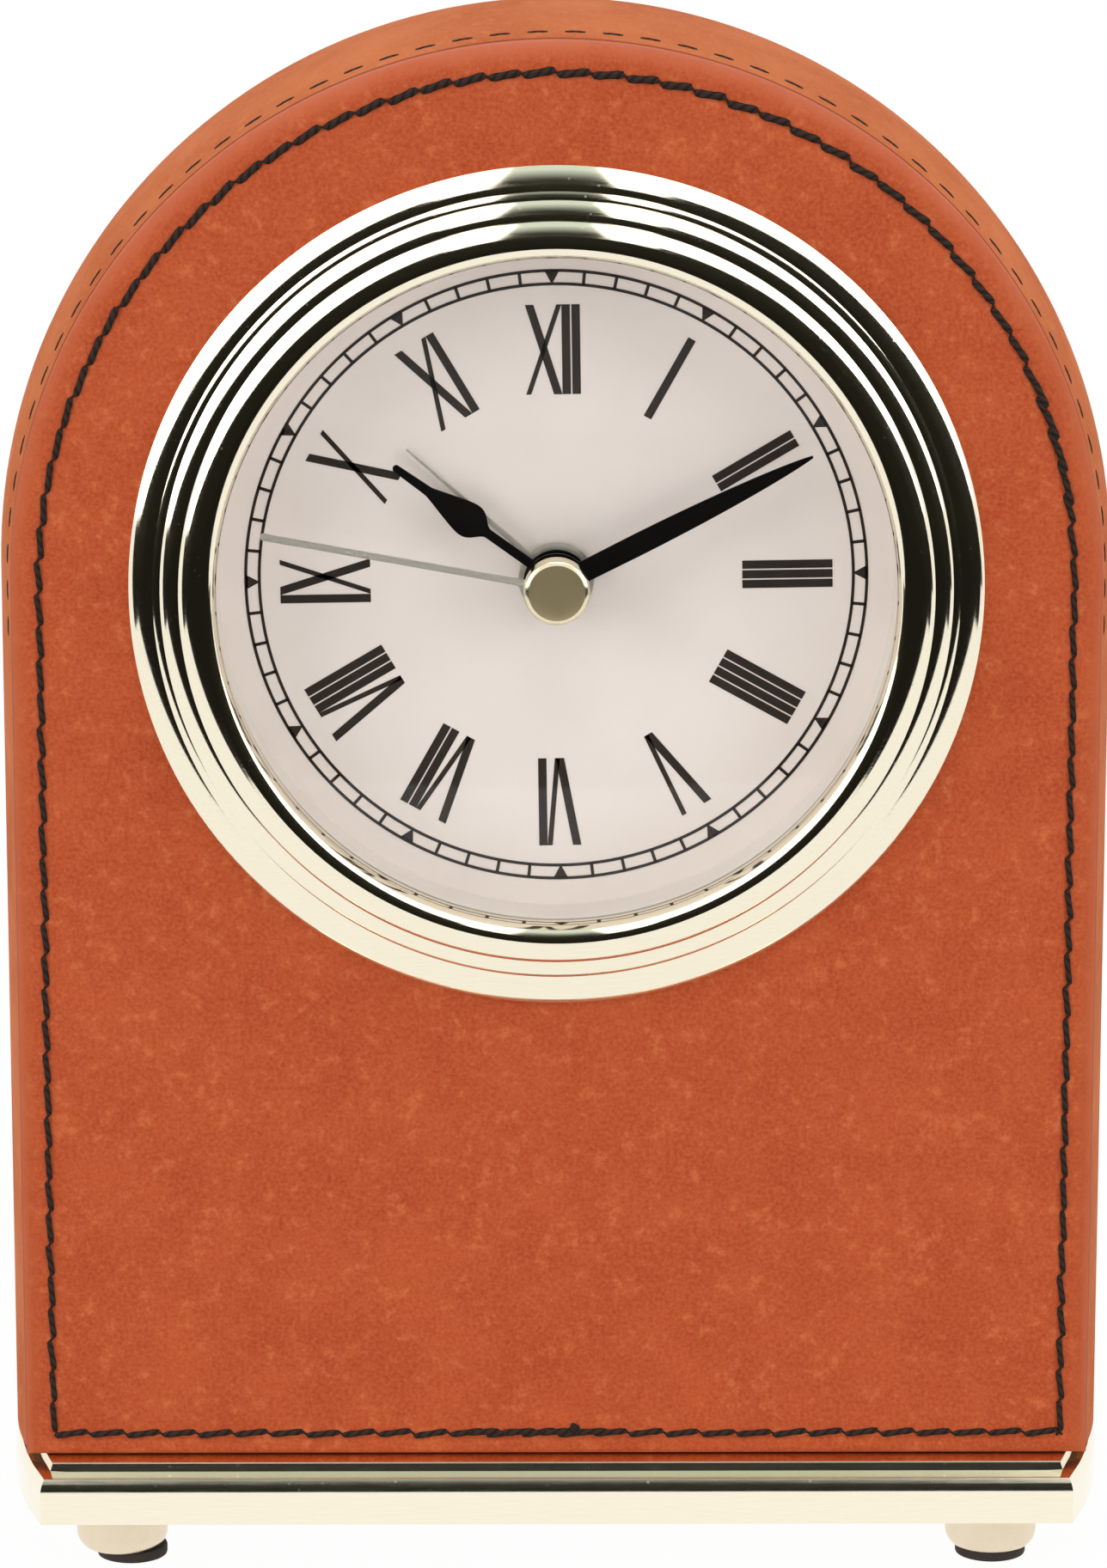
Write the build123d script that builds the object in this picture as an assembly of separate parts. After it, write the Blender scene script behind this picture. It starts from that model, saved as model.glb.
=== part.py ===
from build123d import *
import math
import os

os.makedirs("parts", exist_ok=True)

# Arched desk alarm clock in millimetres, +Z up, the dial faces -Y, z = 0 on the table

# Feet
pad_height = 1.0
pad_radius = 3.4
pad_slip = 0.95
cup_height = 4.4
cup_radius = 4.4
cup_end_radius = 3.6
cup_straight = 2.9
cup_wall = 1.0
foot_side_inset = 7.4
foot_inset = 7.3
foot_screw_radius = 1.2
foot_screw_head = 2.2
foot_screw_grip = 3.0

# Base plate with its stepped moulding
base_height = 5.1
base_set_in = 1.7
base_bow = 3.6
base_overhang = 5.0
base_rear = 8.6
base_bullnose = 1.2
step_height = 0.7
step_inset = 3.3
step_end_inset = 1.7
step_round = 0.3
base_screw_x = 28.0
base_screw_radius = 1.6
base_screw_head = 3.2
base_screw_head_height = 1.6
base_screw_grip = 4.5

# Case: a bowed arch, covered in leather
axis_above_base = 85.6
panel_radius = 51.2
panel_depth = 2.8
panel_roll = 1.6
case_depth = 29.4
band_bow = 1.75
leather = 0.9
shell_wall = 3.2
shell_floor = 6.5
front_wall = 3.0
board_depth = 2.0
board_recess = 1.0
board_ledge = 1.6
board_gap = 0.15

# Bezel, lens and dial, measured from the leather's front
bezel_radius = 40.0
bead_one_radius = 37.75
ridge_radius = 37.0
bead_two_radius = 35.25
crest_radius = 33.5
lip_radius = 32.0
lip_bore = 31.75
bezel_edge = 0.3
bead_one_rise = 1.7
ridge_step = 0.1
ridge_rise = 2.05
bead_two_step = 0.1
bead_two_rise = 3.1
crest_step = 0.2
crest_rise = 4.4
lip_rise = 3.9
lip_bevel = 0.8
bead_one_crown = 0.28
ridge_crown = 0.05
bead_two_crown = 0.22
crest_crown = 0.2
lip_crown = 0.23
bezel_tail = 1.5
lens_seat = 1.3
lens_dome = 2.2
lens_depth = 1.1
lens_gap = 0.1
lens_radius = 33.2
dial_drop = 5.3
dial_depth = 0.4
ring_bore = 31.8
insert_radius = 36.2
insert_gap = 0.3
insert_wall = 2.8
insert_floor = 1.2

# Spring clips that hold the insert in the front wall
clip_count = 3
clip_width = 8.0
clip_reach = 3.5
clip_depth = 0.6
clip_seat = 1.8

# Movement case, behind the insert
movement_tall = 50.0
movement_corner = 4.0
movement_wall = 1.2
cover_depth = 2.4
movement_gap = 0.6
pillar_inset = 3.3
pillar_low = -8.0
pillar_radius = 1.7
screw_radius = 0.8
screw_head = 1.5
screw_head_height = 0.9
screw_grip = 5.0
screw_gap = 0.1
insert_screw_x = 20.5
insert_screw_z = 5.5
insert_screw_grip = 3.0
boss_radius = 1.7

# Gear train: teeth, tooth sizes and places round the dial axis
rotor_teeth = 8
intermediate_teeth = 48
intermediate_pinion_teeth = 8
second_teeth = 40
second_pinion_teeth = 6
third_teeth = 48
third_pinion_teeth = 6
centre_teeth = 45
cannon_teeth = 10
motion_teeth = 30
motion_pinion_teeth = 8
hour_teeth = 32
set_teeth = 10
alarm_teeth = 36
alarm_pinion_teeth = 12
rotor_module = 0.33
second_module = 0.40
third_module = 0.36
motion_module = 0.47
alarm_module = 0.45
third_bearing = 150.0
intermediate_bearing = 90.0
motion_bearing = 30.0
set_bearing = -40.0
alarm_bearing = 215.0
tooth_tip = 0.14
tooth_root = 0.22
tooth_rise = 0.70
tooth_fall = 1.00
wheel_depth = 0.8
pinion_depth = 1.4
layer_step = 1.55
first_layer = 1.9
arbor_radius = 0.4
tube_wall = 0.5
run_gap = 0.05
post_radius = 0.5
bush_wall = 1.1
magnet_radius = 2.6
magnet_depth = 2.0
plate_depth = 0.8
plate_side_gap = 1.2
plate_low = -10.2

# Motor, circuit and sounder
stator_margin = 1.9
stator_gap = 0.4
core_width = 1.9
coil_radius = 3.2
coil_start = 6.5
coil_end_gap = 0.9
coil_flange = 0.8
coil_flange_rise = 0.6
circuit_x = 11.5
circuit_z = 3.0
circuit_wide = 13.0
circuit_tall = 9.0
circuit_depth = 1.0
crystal_radius = 0.8
crystal_length = 6.0
crystal_lift = 2.25
buzzer_x = -13.0
buzzer_z = 11.0
buzzer_radius = 7.0
buzzer_depth = 1.0
sound_hole_radius = 0.8
sound_hole_ring = 3.6
sound_hole_count = 6

# Battery bay
cell_radius = 5.25
cell_length = 43.3
cell_nub_radius = 1.9
cell_nub_length = 1.0
cell_end_room = 1.65
cell_z = -17.6
bay_gap = 0.35
bay_wall = 1.0
contact_depth = 0.4
contact_width = 6.6
tongue_height = 3.3
contact_gap = 0.25

# Knobs and alarm switch on the back
knob_radius = 4.6
knob_depth = 4.0
knob_flutes = 14
knob_flute_radius = 0.55
knob_lift = 0.6
shaft_radius = 1.0
shaft_gap = 0.08
switch_x = 14.5
switch_z = 11.0
switch_wide = 2.6
switch_tall = 4.0
switch_travel = 4.0
switch_lift = 1.6
switch_flange = 1.0
switch_flange_depth = 0.8
switch_gap = 0.2

# Hands, by their height over the dial
hand_depth = 0.25
alarm_lift = 0.5
hour_lift = 2.0
minute_lift = 3.5
second_lift = 5.05
cap_radius = 3.1
cap_face_radius = 2.6
cap_depth = 2.0
cap_bevel = 0.35
alarm_length = 18.7
alarm_hub = 3.55
alarm_width = 0.7
alarm_tip = 0.2
hour_length = 18.9
hour_hub = 2.7
hour_stem = 0.95
hour_stem_end = 6.8
hour_pear = 3.2
hour_pear_at = 9.8
hour_tip = 0.45
minute_length = 26.85
minute_hub = 2.4
minute_root = 1.4
minute_leaf = 1.9
minute_leaf_at = 9.0
minute_tip = 0.25
second_length = 28.1
second_hub = 1.4
second_width = 0.55
second_tip = 0.35

# Where the hands stand, in degrees clockwise from twelve
hour_angle = 305.2
minute_angle = 62.7
second_angle = 280.3
alarm_angle = 311.4

# Heights
cup_base = pad_height
base_low = pad_height + cup_height
base_top = base_low + base_height
dial_z = base_top + axis_above_base

# Depths, from the base's front to its back
base_depth = case_depth + base_overhang + base_rear
base_front = -base_depth / 2
front_y = base_front + base_overhang
rear_y = front_y + case_depth
panel_back = front_y + panel_depth
wall_back = panel_back + front_wall
dial_front = front_y + dial_drop
dial_back = dial_front + dial_depth
movement_y = dial_back + insert_floor
cover_back = rear_y - board_recess
cover_y = cover_back - cover_depth

# Widths that follow from the case and the battery
base_corner = panel_radius - base_set_in
foot_x = base_corner - foot_side_inset
inner_half = (cell_length + cell_nub_length) / 2 + cell_end_room
inner_top = movement_tall / 2 - movement_wall
movement_wide = 2 * (inner_half + movement_wall)
pillar_x = inner_half - pillar_inset
pillar_top = inner_top - pillar_inset
plate_half = inner_half - plate_side_gap


def facing(y, x=0.0, z=0.0):
    return Plane(origin=(x, y, dial_z + z), x_dir=(1, 0, 0), z_dir=(0, -1, 0))


def plate(sketch, front, back, x=0.0, z=0.0):
    return extrude(facing(back, x, z) * sketch, back - front)


def disc(radius, front, back, x=0.0, z=0.0):
    return plate(Circle(radius), front, back, x, z)


def block(wide, tall, front, back, x=0.0, z=0.0):
    return plate(Rectangle(wide, tall), front, back, x, z)


def upright(radius, low, high, x, y):
    return extrude(Plane.XY.offset(low) * Pos(x, y) * Circle(radius), high - low)


def turned(outline):
    return revolve(Plane.XY.offset(dial_z) * make_face(outline), Axis((0, 0, dial_z), (0, 1, 0)))


def save(name, *solids):
    piece = solids[0] if len(solids) == 1 else Compound(children=list(solids))
    export_step(piece, f"parts/{name}.step")
    return piece


# Feet: round-bottomed cups with a glued pad, each held by a screw from below
foot_front = base_front + foot_inset
foot_places = {
    "front_left": (-foot_x, foot_front),
    "front_right": (foot_x, foot_front),
    "rear_left": (-foot_x, -foot_front),
    "rear_right": (foot_x, -foot_front),
}
screw_seat = cup_base + cup_height - cup_wall


def foot_cup(x, y):
    shoulder = base_low - cup_straight
    low = Line((cup_end_radius, cup_base), (0, cup_base))
    bowl = TangentArc((cup_radius, shoulder), (cup_end_radius, cup_base), tangent=(0, -1))
    wall = Line((cup_radius, base_low), (cup_radius, shoulder))
    high = Line((0, base_low), (cup_radius, base_low))
    face = make_face([high, wall, bowl, low, Line((0, cup_base), (0, base_low))])
    cup = revolve(Plane.XZ * face, Axis.Z)
    pocket = upright(foot_screw_head + board_gap, cup_base, screw_seat, 0, 0)
    hole = upright(foot_screw_radius + screw_gap, screw_seat, base_low, 0, 0)
    return Pos(x, y) * (cup - pocket - hole)


def foot_screw(x, y):
    head = upright(foot_screw_head, screw_seat - cup_wall, screw_seat, x, y)
    return head + upright(foot_screw_radius, screw_seat, base_low + foot_screw_grip, x, y)


for place, (x, y) in foot_places.items():
    save(f"foot_{place}", foot_cup(x, y))
    slip = pad_slip if place == "front_left" else 0
    save(f"foot_pad_{place}", upright(pad_radius, 0, pad_height, x + slip, y))
save("foot_screws", *[foot_screw(x, y) for x, y in foot_places.values()])


# Base plate: straight front and back, bowed ends, a step on a bullnose
base_end_radius = (base_front**2 + base_bow**2) / (2 * base_bow)


def base_outline(front_inset, end_inset):
    crown = base_corner + base_bow - end_inset
    reach = base_end_radius - end_inset
    y = base_front + front_inset
    corner = crown - reach + (reach**2 - y**2) ** 0.5
    front = Line((-corner, y), (corner, y))
    right = ThreePointArc((corner, y), (crown, 0), (corner, -y))
    back = Line((corner, -y), (-corner, -y))
    left = ThreePointArc((-corner, -y), (-crown, 0), (-corner, y))
    return make_face([front, right, back, left])


def base_screw(x):
    head = upright(base_screw_head, base_low, base_low + base_screw_head_height, x, 0)
    return head + upright(base_screw_radius, base_low, base_top + base_screw_grip, x, 0)


slab_top = base_top - step_height
slab = extrude(Plane.XY.offset(base_low) * base_outline(0, 0), slab_top - base_low)
slab = fillet(slab.faces().sort_by(Axis.Z)[-1].edges(), base_bullnose)
step = extrude(Plane.XY.offset(slab_top) * base_outline(step_inset, step_end_inset), step_height)
step = fillet(step.faces().sort_by(Axis.Z)[-1].edges(), step_round)
base_plate = slab + step
for x, y in foot_places.values():
    base_plate -= upright(foot_screw_radius, base_low, base_low + foot_screw_grip, x, y)
for x in (-base_screw_x, base_screw_x):
    base_plate -= upright(base_screw_head + screw_gap, base_low, base_low + base_screw_head_height, x, 0)
    base_plate -= upright(base_screw_radius + screw_gap, base_low, base_top, x, 0)
save("base_plate", base_plate)
save("base_screws", base_screw(-base_screw_x), base_screw(base_screw_x))


# Case: front panel with a rolled edge, bowed shell, leather band and back board
def arch(radius, low):
    return Circle(radius) + Pos(0, low / 2) * Rectangle(2 * radius, -low)


def bowed_arch(edge, crown, front, back):
    side = ThreePointArc((edge, front), (crown, (front + back) / 2), (edge, back))
    half = make_face([Polyline((edge, back), (0, back), (0, front), (edge, front)), side])
    dome = revolve(Plane.XY.offset(dial_z) * half, Axis((0, 0, dial_z), (0, -1, 0)), 180)
    legs = extrude(Plane.XY.offset(base_top) * (half + mirror(half, Plane.YZ)), dial_z - base_top)
    return dome + legs


insert_hole = insert_radius + insert_gap
panel = plate(arch(panel_radius, -axis_above_base), front_y, panel_back)
front_edges = panel.faces().sort_by(Axis.Y)[0].edges()
panel = fillet(front_edges.filter_by(lambda e: e.center().Z > base_top + panel_roll), panel_roll)
save("front_leather", panel - disc(insert_hole, front_y, panel_back))

shell_edge = panel_radius - leather
shell_crown = shell_edge + band_bow
outer = bowed_arch(panel_radius, panel_radius + band_bow, panel_back, rear_y)
core = bowed_arch(shell_edge, shell_crown, panel_back, rear_y)
save("band_leather", outer - core)

hollow_radius = shell_edge - shell_wall
hollow_low = shell_floor - axis_above_base
board_back = cover_back
board_front = board_back - board_depth
shell = core - disc(insert_hole, panel_back, wall_back)
shell -= plate(arch(hollow_radius, hollow_low), wall_back, rear_y)
shell -= plate(arch(hollow_radius + board_ledge, hollow_low - board_ledge), board_front, rear_y)
for x in (-base_screw_x, base_screw_x):
    shell -= upright(base_screw_radius, base_top, base_top + base_screw_grip, x, 0)
save("case_shell", shell)

board_radius = hollow_radius + board_ledge - board_gap
board = plate(arch(board_radius, hollow_low - board_ledge + board_gap), board_front, board_back)
opening_wide = movement_wide + 2 * movement_gap
opening_tall = movement_tall + 2 * movement_gap
board -= plate(RectangleRounded(opening_wide, opening_tall, movement_corner), board_front, board_back)
save("back_panel", board)


# Bezel: three stepped beads, a ridge and a rounded lip over a bevelled bore, turned in one piece
def bead(outer_radius, outer_rise, inner_radius, inner_rise, crown):
    start = Vector(outer_radius, front_y - outer_rise)
    end = Vector(inner_radius, front_y - inner_rise)
    along = end - start
    bulge = Vector(-along.Y, along.X).normalized() * crown
    if bulge.Y > 0:
        bulge = bulge * -1
    return ThreePointArc(start, (start + end) / 2 + bulge, end)


def riser(radius, rise, step):
    return Line((radius, front_y - rise), (radius, front_y - rise - step))


seat_y = front_y - lens_seat
tail_y = front_y + bezel_tail
lens_bore = lens_radius + lens_gap
bezel_line = [
    riser(bezel_radius, 0, bezel_edge),
    bead(bezel_radius, bezel_edge, bead_one_radius, bead_one_rise, bead_one_crown),
    riser(bead_one_radius, bead_one_rise, ridge_step),
    bead(bead_one_radius, bead_one_rise + ridge_step, ridge_radius, ridge_rise, ridge_crown),
    riser(ridge_radius, ridge_rise, bead_two_step),
    bead(ridge_radius, ridge_rise + bead_two_step, bead_two_radius, bead_two_rise, bead_two_crown),
    riser(bead_two_radius, bead_two_rise, crest_step),
    bead(bead_two_radius, bead_two_rise + crest_step, crest_radius, crest_rise, crest_crown),
    bead(crest_radius, crest_rise, lip_radius, lip_rise, lip_crown),
    Polyline(
        (lip_radius, front_y - lip_rise),
        (lip_bore, front_y - lip_rise + lip_bevel),
        (lip_bore, seat_y),
        (lens_bore, seat_y),
        (lens_bore, tail_y),
        (insert_radius, tail_y),
        (insert_radius, front_y),
        (bezel_radius, front_y),
    ),
]
save("bezel", turned(bezel_line))

# Lens: a shallow dome with a flat rim behind the lip
dome_radius = lip_bore - 2 * lens_gap
lens_back = seat_y + lens_depth
outer_crown = (0, seat_y - lens_dome)
inner_crown = (0, lens_back - lens_dome)
outer_edge = (dome_radius, seat_y)
inner_edge = (dome_radius, lens_back)
outer_dome = TangentArc(outer_crown, outer_edge, tangent=(1, 0))
inner_dome = TangentArc(inner_crown, inner_edge, tangent=(1, 0))
rim = Polyline(outer_edge, (lens_radius, seat_y), (lens_radius, lens_back), inner_edge)
save("lens", turned([outer_dome, rim, inner_dome, Line(inner_crown, outer_crown)]))

# Tubes of the hand stack, each running on the one inside it
minute_bore = arbor_radius + run_gap
minute_tube = minute_bore + tube_wall
hour_bore = minute_tube + run_gap
hour_tube = hour_bore + tube_wall
alarm_bore = hour_tube + run_gap
alarm_tube = alarm_bore + tube_wall
stack_bore = alarm_tube + run_gap
bush_radius = stack_bore + bush_wall

# Dial, its wall ring and the insert cup that carries the movement
ring = disc(lens_radius, lens_back, dial_front) - disc(ring_bore, lens_back, dial_front)
save("dial_ring", ring)
save("dial", disc(lens_radius, dial_front, dial_back) - disc(bush_radius, dial_front, dial_back))

insert_bore = insert_radius - insert_wall
insert_screw_places = [(side * insert_screw_x, insert_screw_z) for side in (-1, 1)]
cup = disc(insert_radius, tail_y, movement_y) - disc(insert_bore, tail_y, dial_back)
cup -= disc(bush_radius, dial_back, movement_y)
head_back = dial_back + screw_head_height
for x, z in insert_screw_places:
    cup -= disc(screw_radius + screw_gap, dial_back, movement_y, x, z)
    cup -= disc(screw_head + screw_gap, dial_back, head_back, x, z)
save("insert_cup", cup)


def spring_clip(turn):
    inner = insert_radius - clip_seat
    outer = insert_hole + clip_reach
    strip = block(clip_width, outer - inner, movement_y, movement_y + clip_depth, 0, (outer + inner) / 2)
    foot = block(clip_width, clip_depth, wall_back, movement_y, 0, outer - clip_depth / 2)
    return (strip + foot).rotate(Axis((0, 0, dial_z), (0, 1, 0)), turn)


save("insert_clips", *[spring_clip(i * 360 / clip_count) for i in range(clip_count)])


# Gear train
def polar(radius, bearing):
    return (radius * math.cos(math.radians(bearing)), radius * math.sin(math.radians(bearing)))


def spacing(module, teeth, other):
    return module * (teeth + other) / 2


third_spacing = spacing(third_module, second_pinion_teeth, third_teeth)
centre_module = 2 * third_spacing / (third_pinion_teeth + centre_teeth)
motion_spacing = spacing(motion_module, cannon_teeth, motion_teeth)
hour_module = 2 * motion_spacing / (motion_pinion_teeth + hour_teeth)
third_at = polar(third_spacing, third_bearing)
motion_at = polar(motion_spacing, motion_bearing)
middle_spacing = spacing(second_module, intermediate_pinion_teeth, second_teeth)
middle_at = polar(middle_spacing, intermediate_bearing)
rotor_spacing = spacing(rotor_module, rotor_teeth, intermediate_teeth)
rotor_x, rotor_z = polar(middle_spacing + rotor_spacing, intermediate_bearing)
set_step = polar(spacing(motion_module, set_teeth, motion_teeth), set_bearing)
set_at = (motion_at[0] + set_step[0], motion_at[1] + set_step[1])
alarm_at = polar(spacing(alarm_module, alarm_teeth, alarm_pinion_teeth), alarm_bearing)


def meshed(bearing, first_phase, first_teeth, other_teeth):
    pitch = 360 / first_teeth
    ahead = ((bearing - first_phase) / pitch) % 1
    return bearing + 180 + (ahead + 0.5) * 360 / other_teeth


second_phase = 90 - second_angle
minute_phase = 90 - minute_angle
alarm_phase = 90 - alarm_angle
third_phase = meshed(third_bearing, second_phase, second_pinion_teeth, third_teeth)
third_pinion_phase = meshed(third_bearing, minute_phase, centre_teeth, third_pinion_teeth)
middle_pinion_phase = meshed(intermediate_bearing, second_phase, second_teeth, intermediate_pinion_teeth)
rotor_phase = meshed(intermediate_bearing, middle_pinion_phase, intermediate_teeth, rotor_teeth)
motion_phase = meshed(motion_bearing, minute_phase, cannon_teeth, motion_teeth)
hour_phase = meshed(motion_bearing + 180, motion_phase, motion_pinion_teeth, hour_teeth)
set_phase = meshed(set_bearing, motion_phase, motion_teeth, set_teeth)
alarm_knob_phase = meshed(alarm_bearing, alarm_phase, alarm_teeth, alarm_pinion_teeth)


def gear(teeth, module, front, depth, x, z, phase):
    pitch = 360 / teeth
    root = module * (teeth / 2 - tooth_fall)
    tip = module * (teeth / 2 + tooth_rise)
    corners = []
    for i in range(teeth):
        middle = phase + i * pitch
        for radius, share in ((root, -tooth_root), (tip, -tooth_tip), (tip, tooth_tip), (root, tooth_root)):
            corners.append(polar(radius, middle + share * pitch))
    start = movement_y + front
    return plate(make_face(Polyline(*corners, close=True)), start, start + depth, x, z)


def layer(index):
    return first_layer + index * layer_step


pinion_over = (pinion_depth - wheel_depth) / 2
alarm_layer = layer(0)
hour_layer = layer(1)
motion_layer = layer(2)
centre_layer = layer(3)
third_layer = layer(4)
second_layer = layer(5)
middle_layer = layer(6)
magnet_front = middle_layer + wheel_depth + pinion_over
plate_front = magnet_front + magnet_depth + pinion_over
plate_back = plate_front + plate_depth
plate_y = movement_y + plate_front
plate_rear_y = movement_y + plate_back
post_bore = post_radius + run_gap


def sleeve(outer_radius, bore, front, back, x=0.0, z=0.0):
    return disc(outer_radius, front, back, x, z) - disc(bore, front, back, x, z)


# Seconds: arbor from the cap to the train plate
second_front = dial_front - second_lift - hand_depth - cap_depth / 2
pinion_front = third_layer - pinion_over
second_wheel = gear(second_teeth, second_module, second_layer, wheel_depth, 0, 0, second_phase)
second_pinion_depth = second_layer - pinion_front
second_wheel += gear(second_pinion_teeth, third_module, pinion_front, second_pinion_depth, 0, 0, second_phase)
second_wheel += disc(arbor_radius, second_front, plate_rear_y)
save("second_wheel", second_wheel)

# Minutes: centre wheel and cannon pinion on one tube
minute_front = dial_front - minute_lift - hand_depth
centre_back = centre_layer + wheel_depth
cannon_front = motion_layer - pinion_over
centre_wheel = gear(centre_teeth, centre_module, centre_layer, wheel_depth, 0, 0, minute_phase)
cannon_depth = centre_layer - cannon_front
centre_wheel += gear(cannon_teeth, motion_module, cannon_front, cannon_depth, 0, 0, minute_phase)
centre_wheel += disc(minute_tube, minute_front, movement_y + centre_back)
save("centre_wheel", centre_wheel - disc(minute_bore, minute_front, movement_y + centre_back))

# Hours and alarm: wheels on the outer tubes
hour_front = dial_front - hour_lift - hand_depth
hour_wheel = gear(hour_teeth, hour_module, hour_layer, wheel_depth, 0, 0, hour_phase)
hour_wheel += disc(hour_tube, hour_front, movement_y + hour_layer + wheel_depth)
save("hour_wheel", hour_wheel - disc(hour_bore, hour_front, movement_y + hour_layer + wheel_depth))
alarm_front = dial_front - alarm_lift - hand_depth
alarm_wheel = gear(alarm_teeth, alarm_module, alarm_layer, wheel_depth, 0, 0, alarm_phase)
alarm_wheel += disc(alarm_tube, alarm_front, movement_y + alarm_layer + wheel_depth)
save("alarm_wheel", alarm_wheel - disc(alarm_bore, alarm_front, movement_y + alarm_layer + wheel_depth))

# Third, motion and intermediate wheels turn on fixed posts
third_front = centre_layer - pinion_over
third_back = third_layer + wheel_depth
third_pinion_depth = third_layer - third_front
third_wheel = gear(third_teeth, third_module, third_layer, wheel_depth, *third_at, third_phase)
third_wheel += gear(
    third_pinion_teeth, centre_module, third_front, third_pinion_depth, *third_at, third_pinion_phase
)
third_hole = disc(post_bore, movement_y + third_front, movement_y + third_back, *third_at)
save("third_wheel", third_wheel - third_hole)
motion_front = hour_layer - pinion_over
motion_back = motion_layer + wheel_depth
motion_pinion_depth = motion_layer - motion_front
motion_wheel = gear(motion_teeth, motion_module, motion_layer, wheel_depth, *motion_at, motion_phase)
motion_wheel += gear(
    motion_pinion_teeth, hour_module, motion_front, motion_pinion_depth, *motion_at, motion_phase
)
motion_hole = disc(post_bore, movement_y + motion_front, movement_y + motion_back, *motion_at)
save("motion_wheel", motion_wheel - motion_hole)
middle_front = second_layer - pinion_over
middle_back = middle_layer + wheel_depth
middle_pinion_depth = middle_layer - middle_front
middle_wheel = gear(
    intermediate_teeth, rotor_module, middle_layer, wheel_depth, *middle_at, middle_pinion_phase
)
middle_wheel += gear(
    intermediate_pinion_teeth,
    second_module,
    middle_front,
    middle_pinion_depth,
    *middle_at,
    middle_pinion_phase,
)
middle_hole = disc(post_bore, movement_y + middle_front, movement_y + middle_back, *middle_at)
save("intermediate_wheel", middle_wheel - middle_hole)

# Rotor: pinion and round magnet on a short arbor
rotor_front = middle_layer - pinion_over
rotor_depth = magnet_front - rotor_front
stator_y = movement_y + magnet_front
stator_back = stator_y + magnet_depth
rotor = gear(rotor_teeth, rotor_module, rotor_front, rotor_depth, rotor_x, rotor_z, rotor_phase)
rotor += disc(magnet_radius, stator_y, stator_back, rotor_x, rotor_z)
rotor += disc(arbor_radius, stator_y, plate_rear_y, rotor_x, rotor_z)
save("rotor", rotor)

# Train plate with the posts of the third and intermediate wheels
inner_corner = movement_corner - movement_wall
plate_high = inner_top - movement_gap
plate_tall = plate_high - plate_low
plate_form = RectangleRounded(2 * plate_half, plate_tall, inner_corner - movement_gap)
train_plate = plate(plate_form, plate_y, plate_rear_y, 0, (plate_high + plate_low) / 2)
lobe = magnet_radius + stator_gap + stator_margin
core_end = pillar_x - pillar_radius - stator_gap
core_length = core_end - rotor_x - lobe
coil_length = core_end - coil_end_gap - coil_start
coil_room = coil_radius + coil_flange_rise + stator_gap
room_start = coil_start - stator_gap
room_wide = coil_length + 2 * stator_gap
train_plate -= block(room_wide, 2 * coil_room, plate_y, plate_rear_y, room_start + room_wide / 2, rotor_z)
train_plate += disc(post_radius, movement_y + third_front, plate_y, *third_at)
train_plate += disc(post_radius, movement_y + middle_front, plate_y, *middle_at)
for x, z in ((0, 0), (rotor_x, rotor_z)):
    train_plate -= disc(arbor_radius + run_gap, plate_y, plate_rear_y, x, z)
for x, z in (set_at, alarm_at):
    train_plate -= disc(shaft_radius + shaft_gap, plate_y, plate_rear_y, x, z)
pillars = [(side * pillar_x, z) for side in (-1, 1) for z in (pillar_low, pillar_top)]
for x, z in pillars:
    train_plate -= disc(screw_radius + screw_gap, plate_y, plate_rear_y, x, z)
save("train_plate", train_plate)

# Movement housing: front wall, side walls, battery bay, pillars, bush and motion post
front_inside = movement_y + movement_wall
bay_half = cell_radius + bay_gap
bay_y = cover_back - bay_gap - 2 * cell_radius - bay_wall
movement_form = RectangleRounded(movement_wide, movement_tall, movement_corner)
outer_form = plate(movement_form, movement_y, cover_y)
inner_form = plate(RectangleRounded(2 * inner_half, 2 * inner_top, inner_corner), front_inside, cover_y)
bay_frame = block(2 * inner_half, 2 * bay_half + 2 * bay_wall, bay_y, cover_y, 0, cell_z)
bay_room = block(2 * inner_half, 2 * bay_half, bay_y + bay_wall, cover_y, 0, cell_z)
housing = outer_form - (inner_form - bay_frame) - (bay_room & inner_form)
for x, z in pillars:
    housing += disc(pillar_radius, front_inside, plate_y, x, z)
screw_end = movement_y + insert_screw_grip
for x, z in insert_screw_places:
    housing += disc(boss_radius, front_inside, screw_end + movement_wall, x, z)
bush_back = movement_y + alarm_layer - run_gap
housing += disc(bush_radius, dial_front, bush_back)
housing += disc(post_radius, front_inside, movement_y + motion_back, *motion_at)
housing -= disc(stack_bore, dial_front, bush_back)
for x, z in pillars:
    housing -= disc(screw_radius, plate_y - screw_grip, plate_y, x, z)
for x, z in insert_screw_places:
    housing -= disc(screw_radius, movement_y, screw_end, x, z)
save("movement_housing", housing)


# Screws: cover to pillars from the back, insert to housing from the front
def cover_screw(x, z):
    head = disc(screw_head, cover_back, cover_back + screw_head_height, x, z)
    return head + disc(screw_radius, plate_y - screw_grip, cover_back, x, z)


def insert_screw(x, z):
    return disc(screw_head, dial_back, head_back, x, z) + disc(screw_radius, dial_back, screw_end, x, z)


save("cover_screws", *[cover_screw(x, z) for x, z in pillars])
save("insert_screws", *[insert_screw(x, z) for x, z in insert_screw_places])

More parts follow.
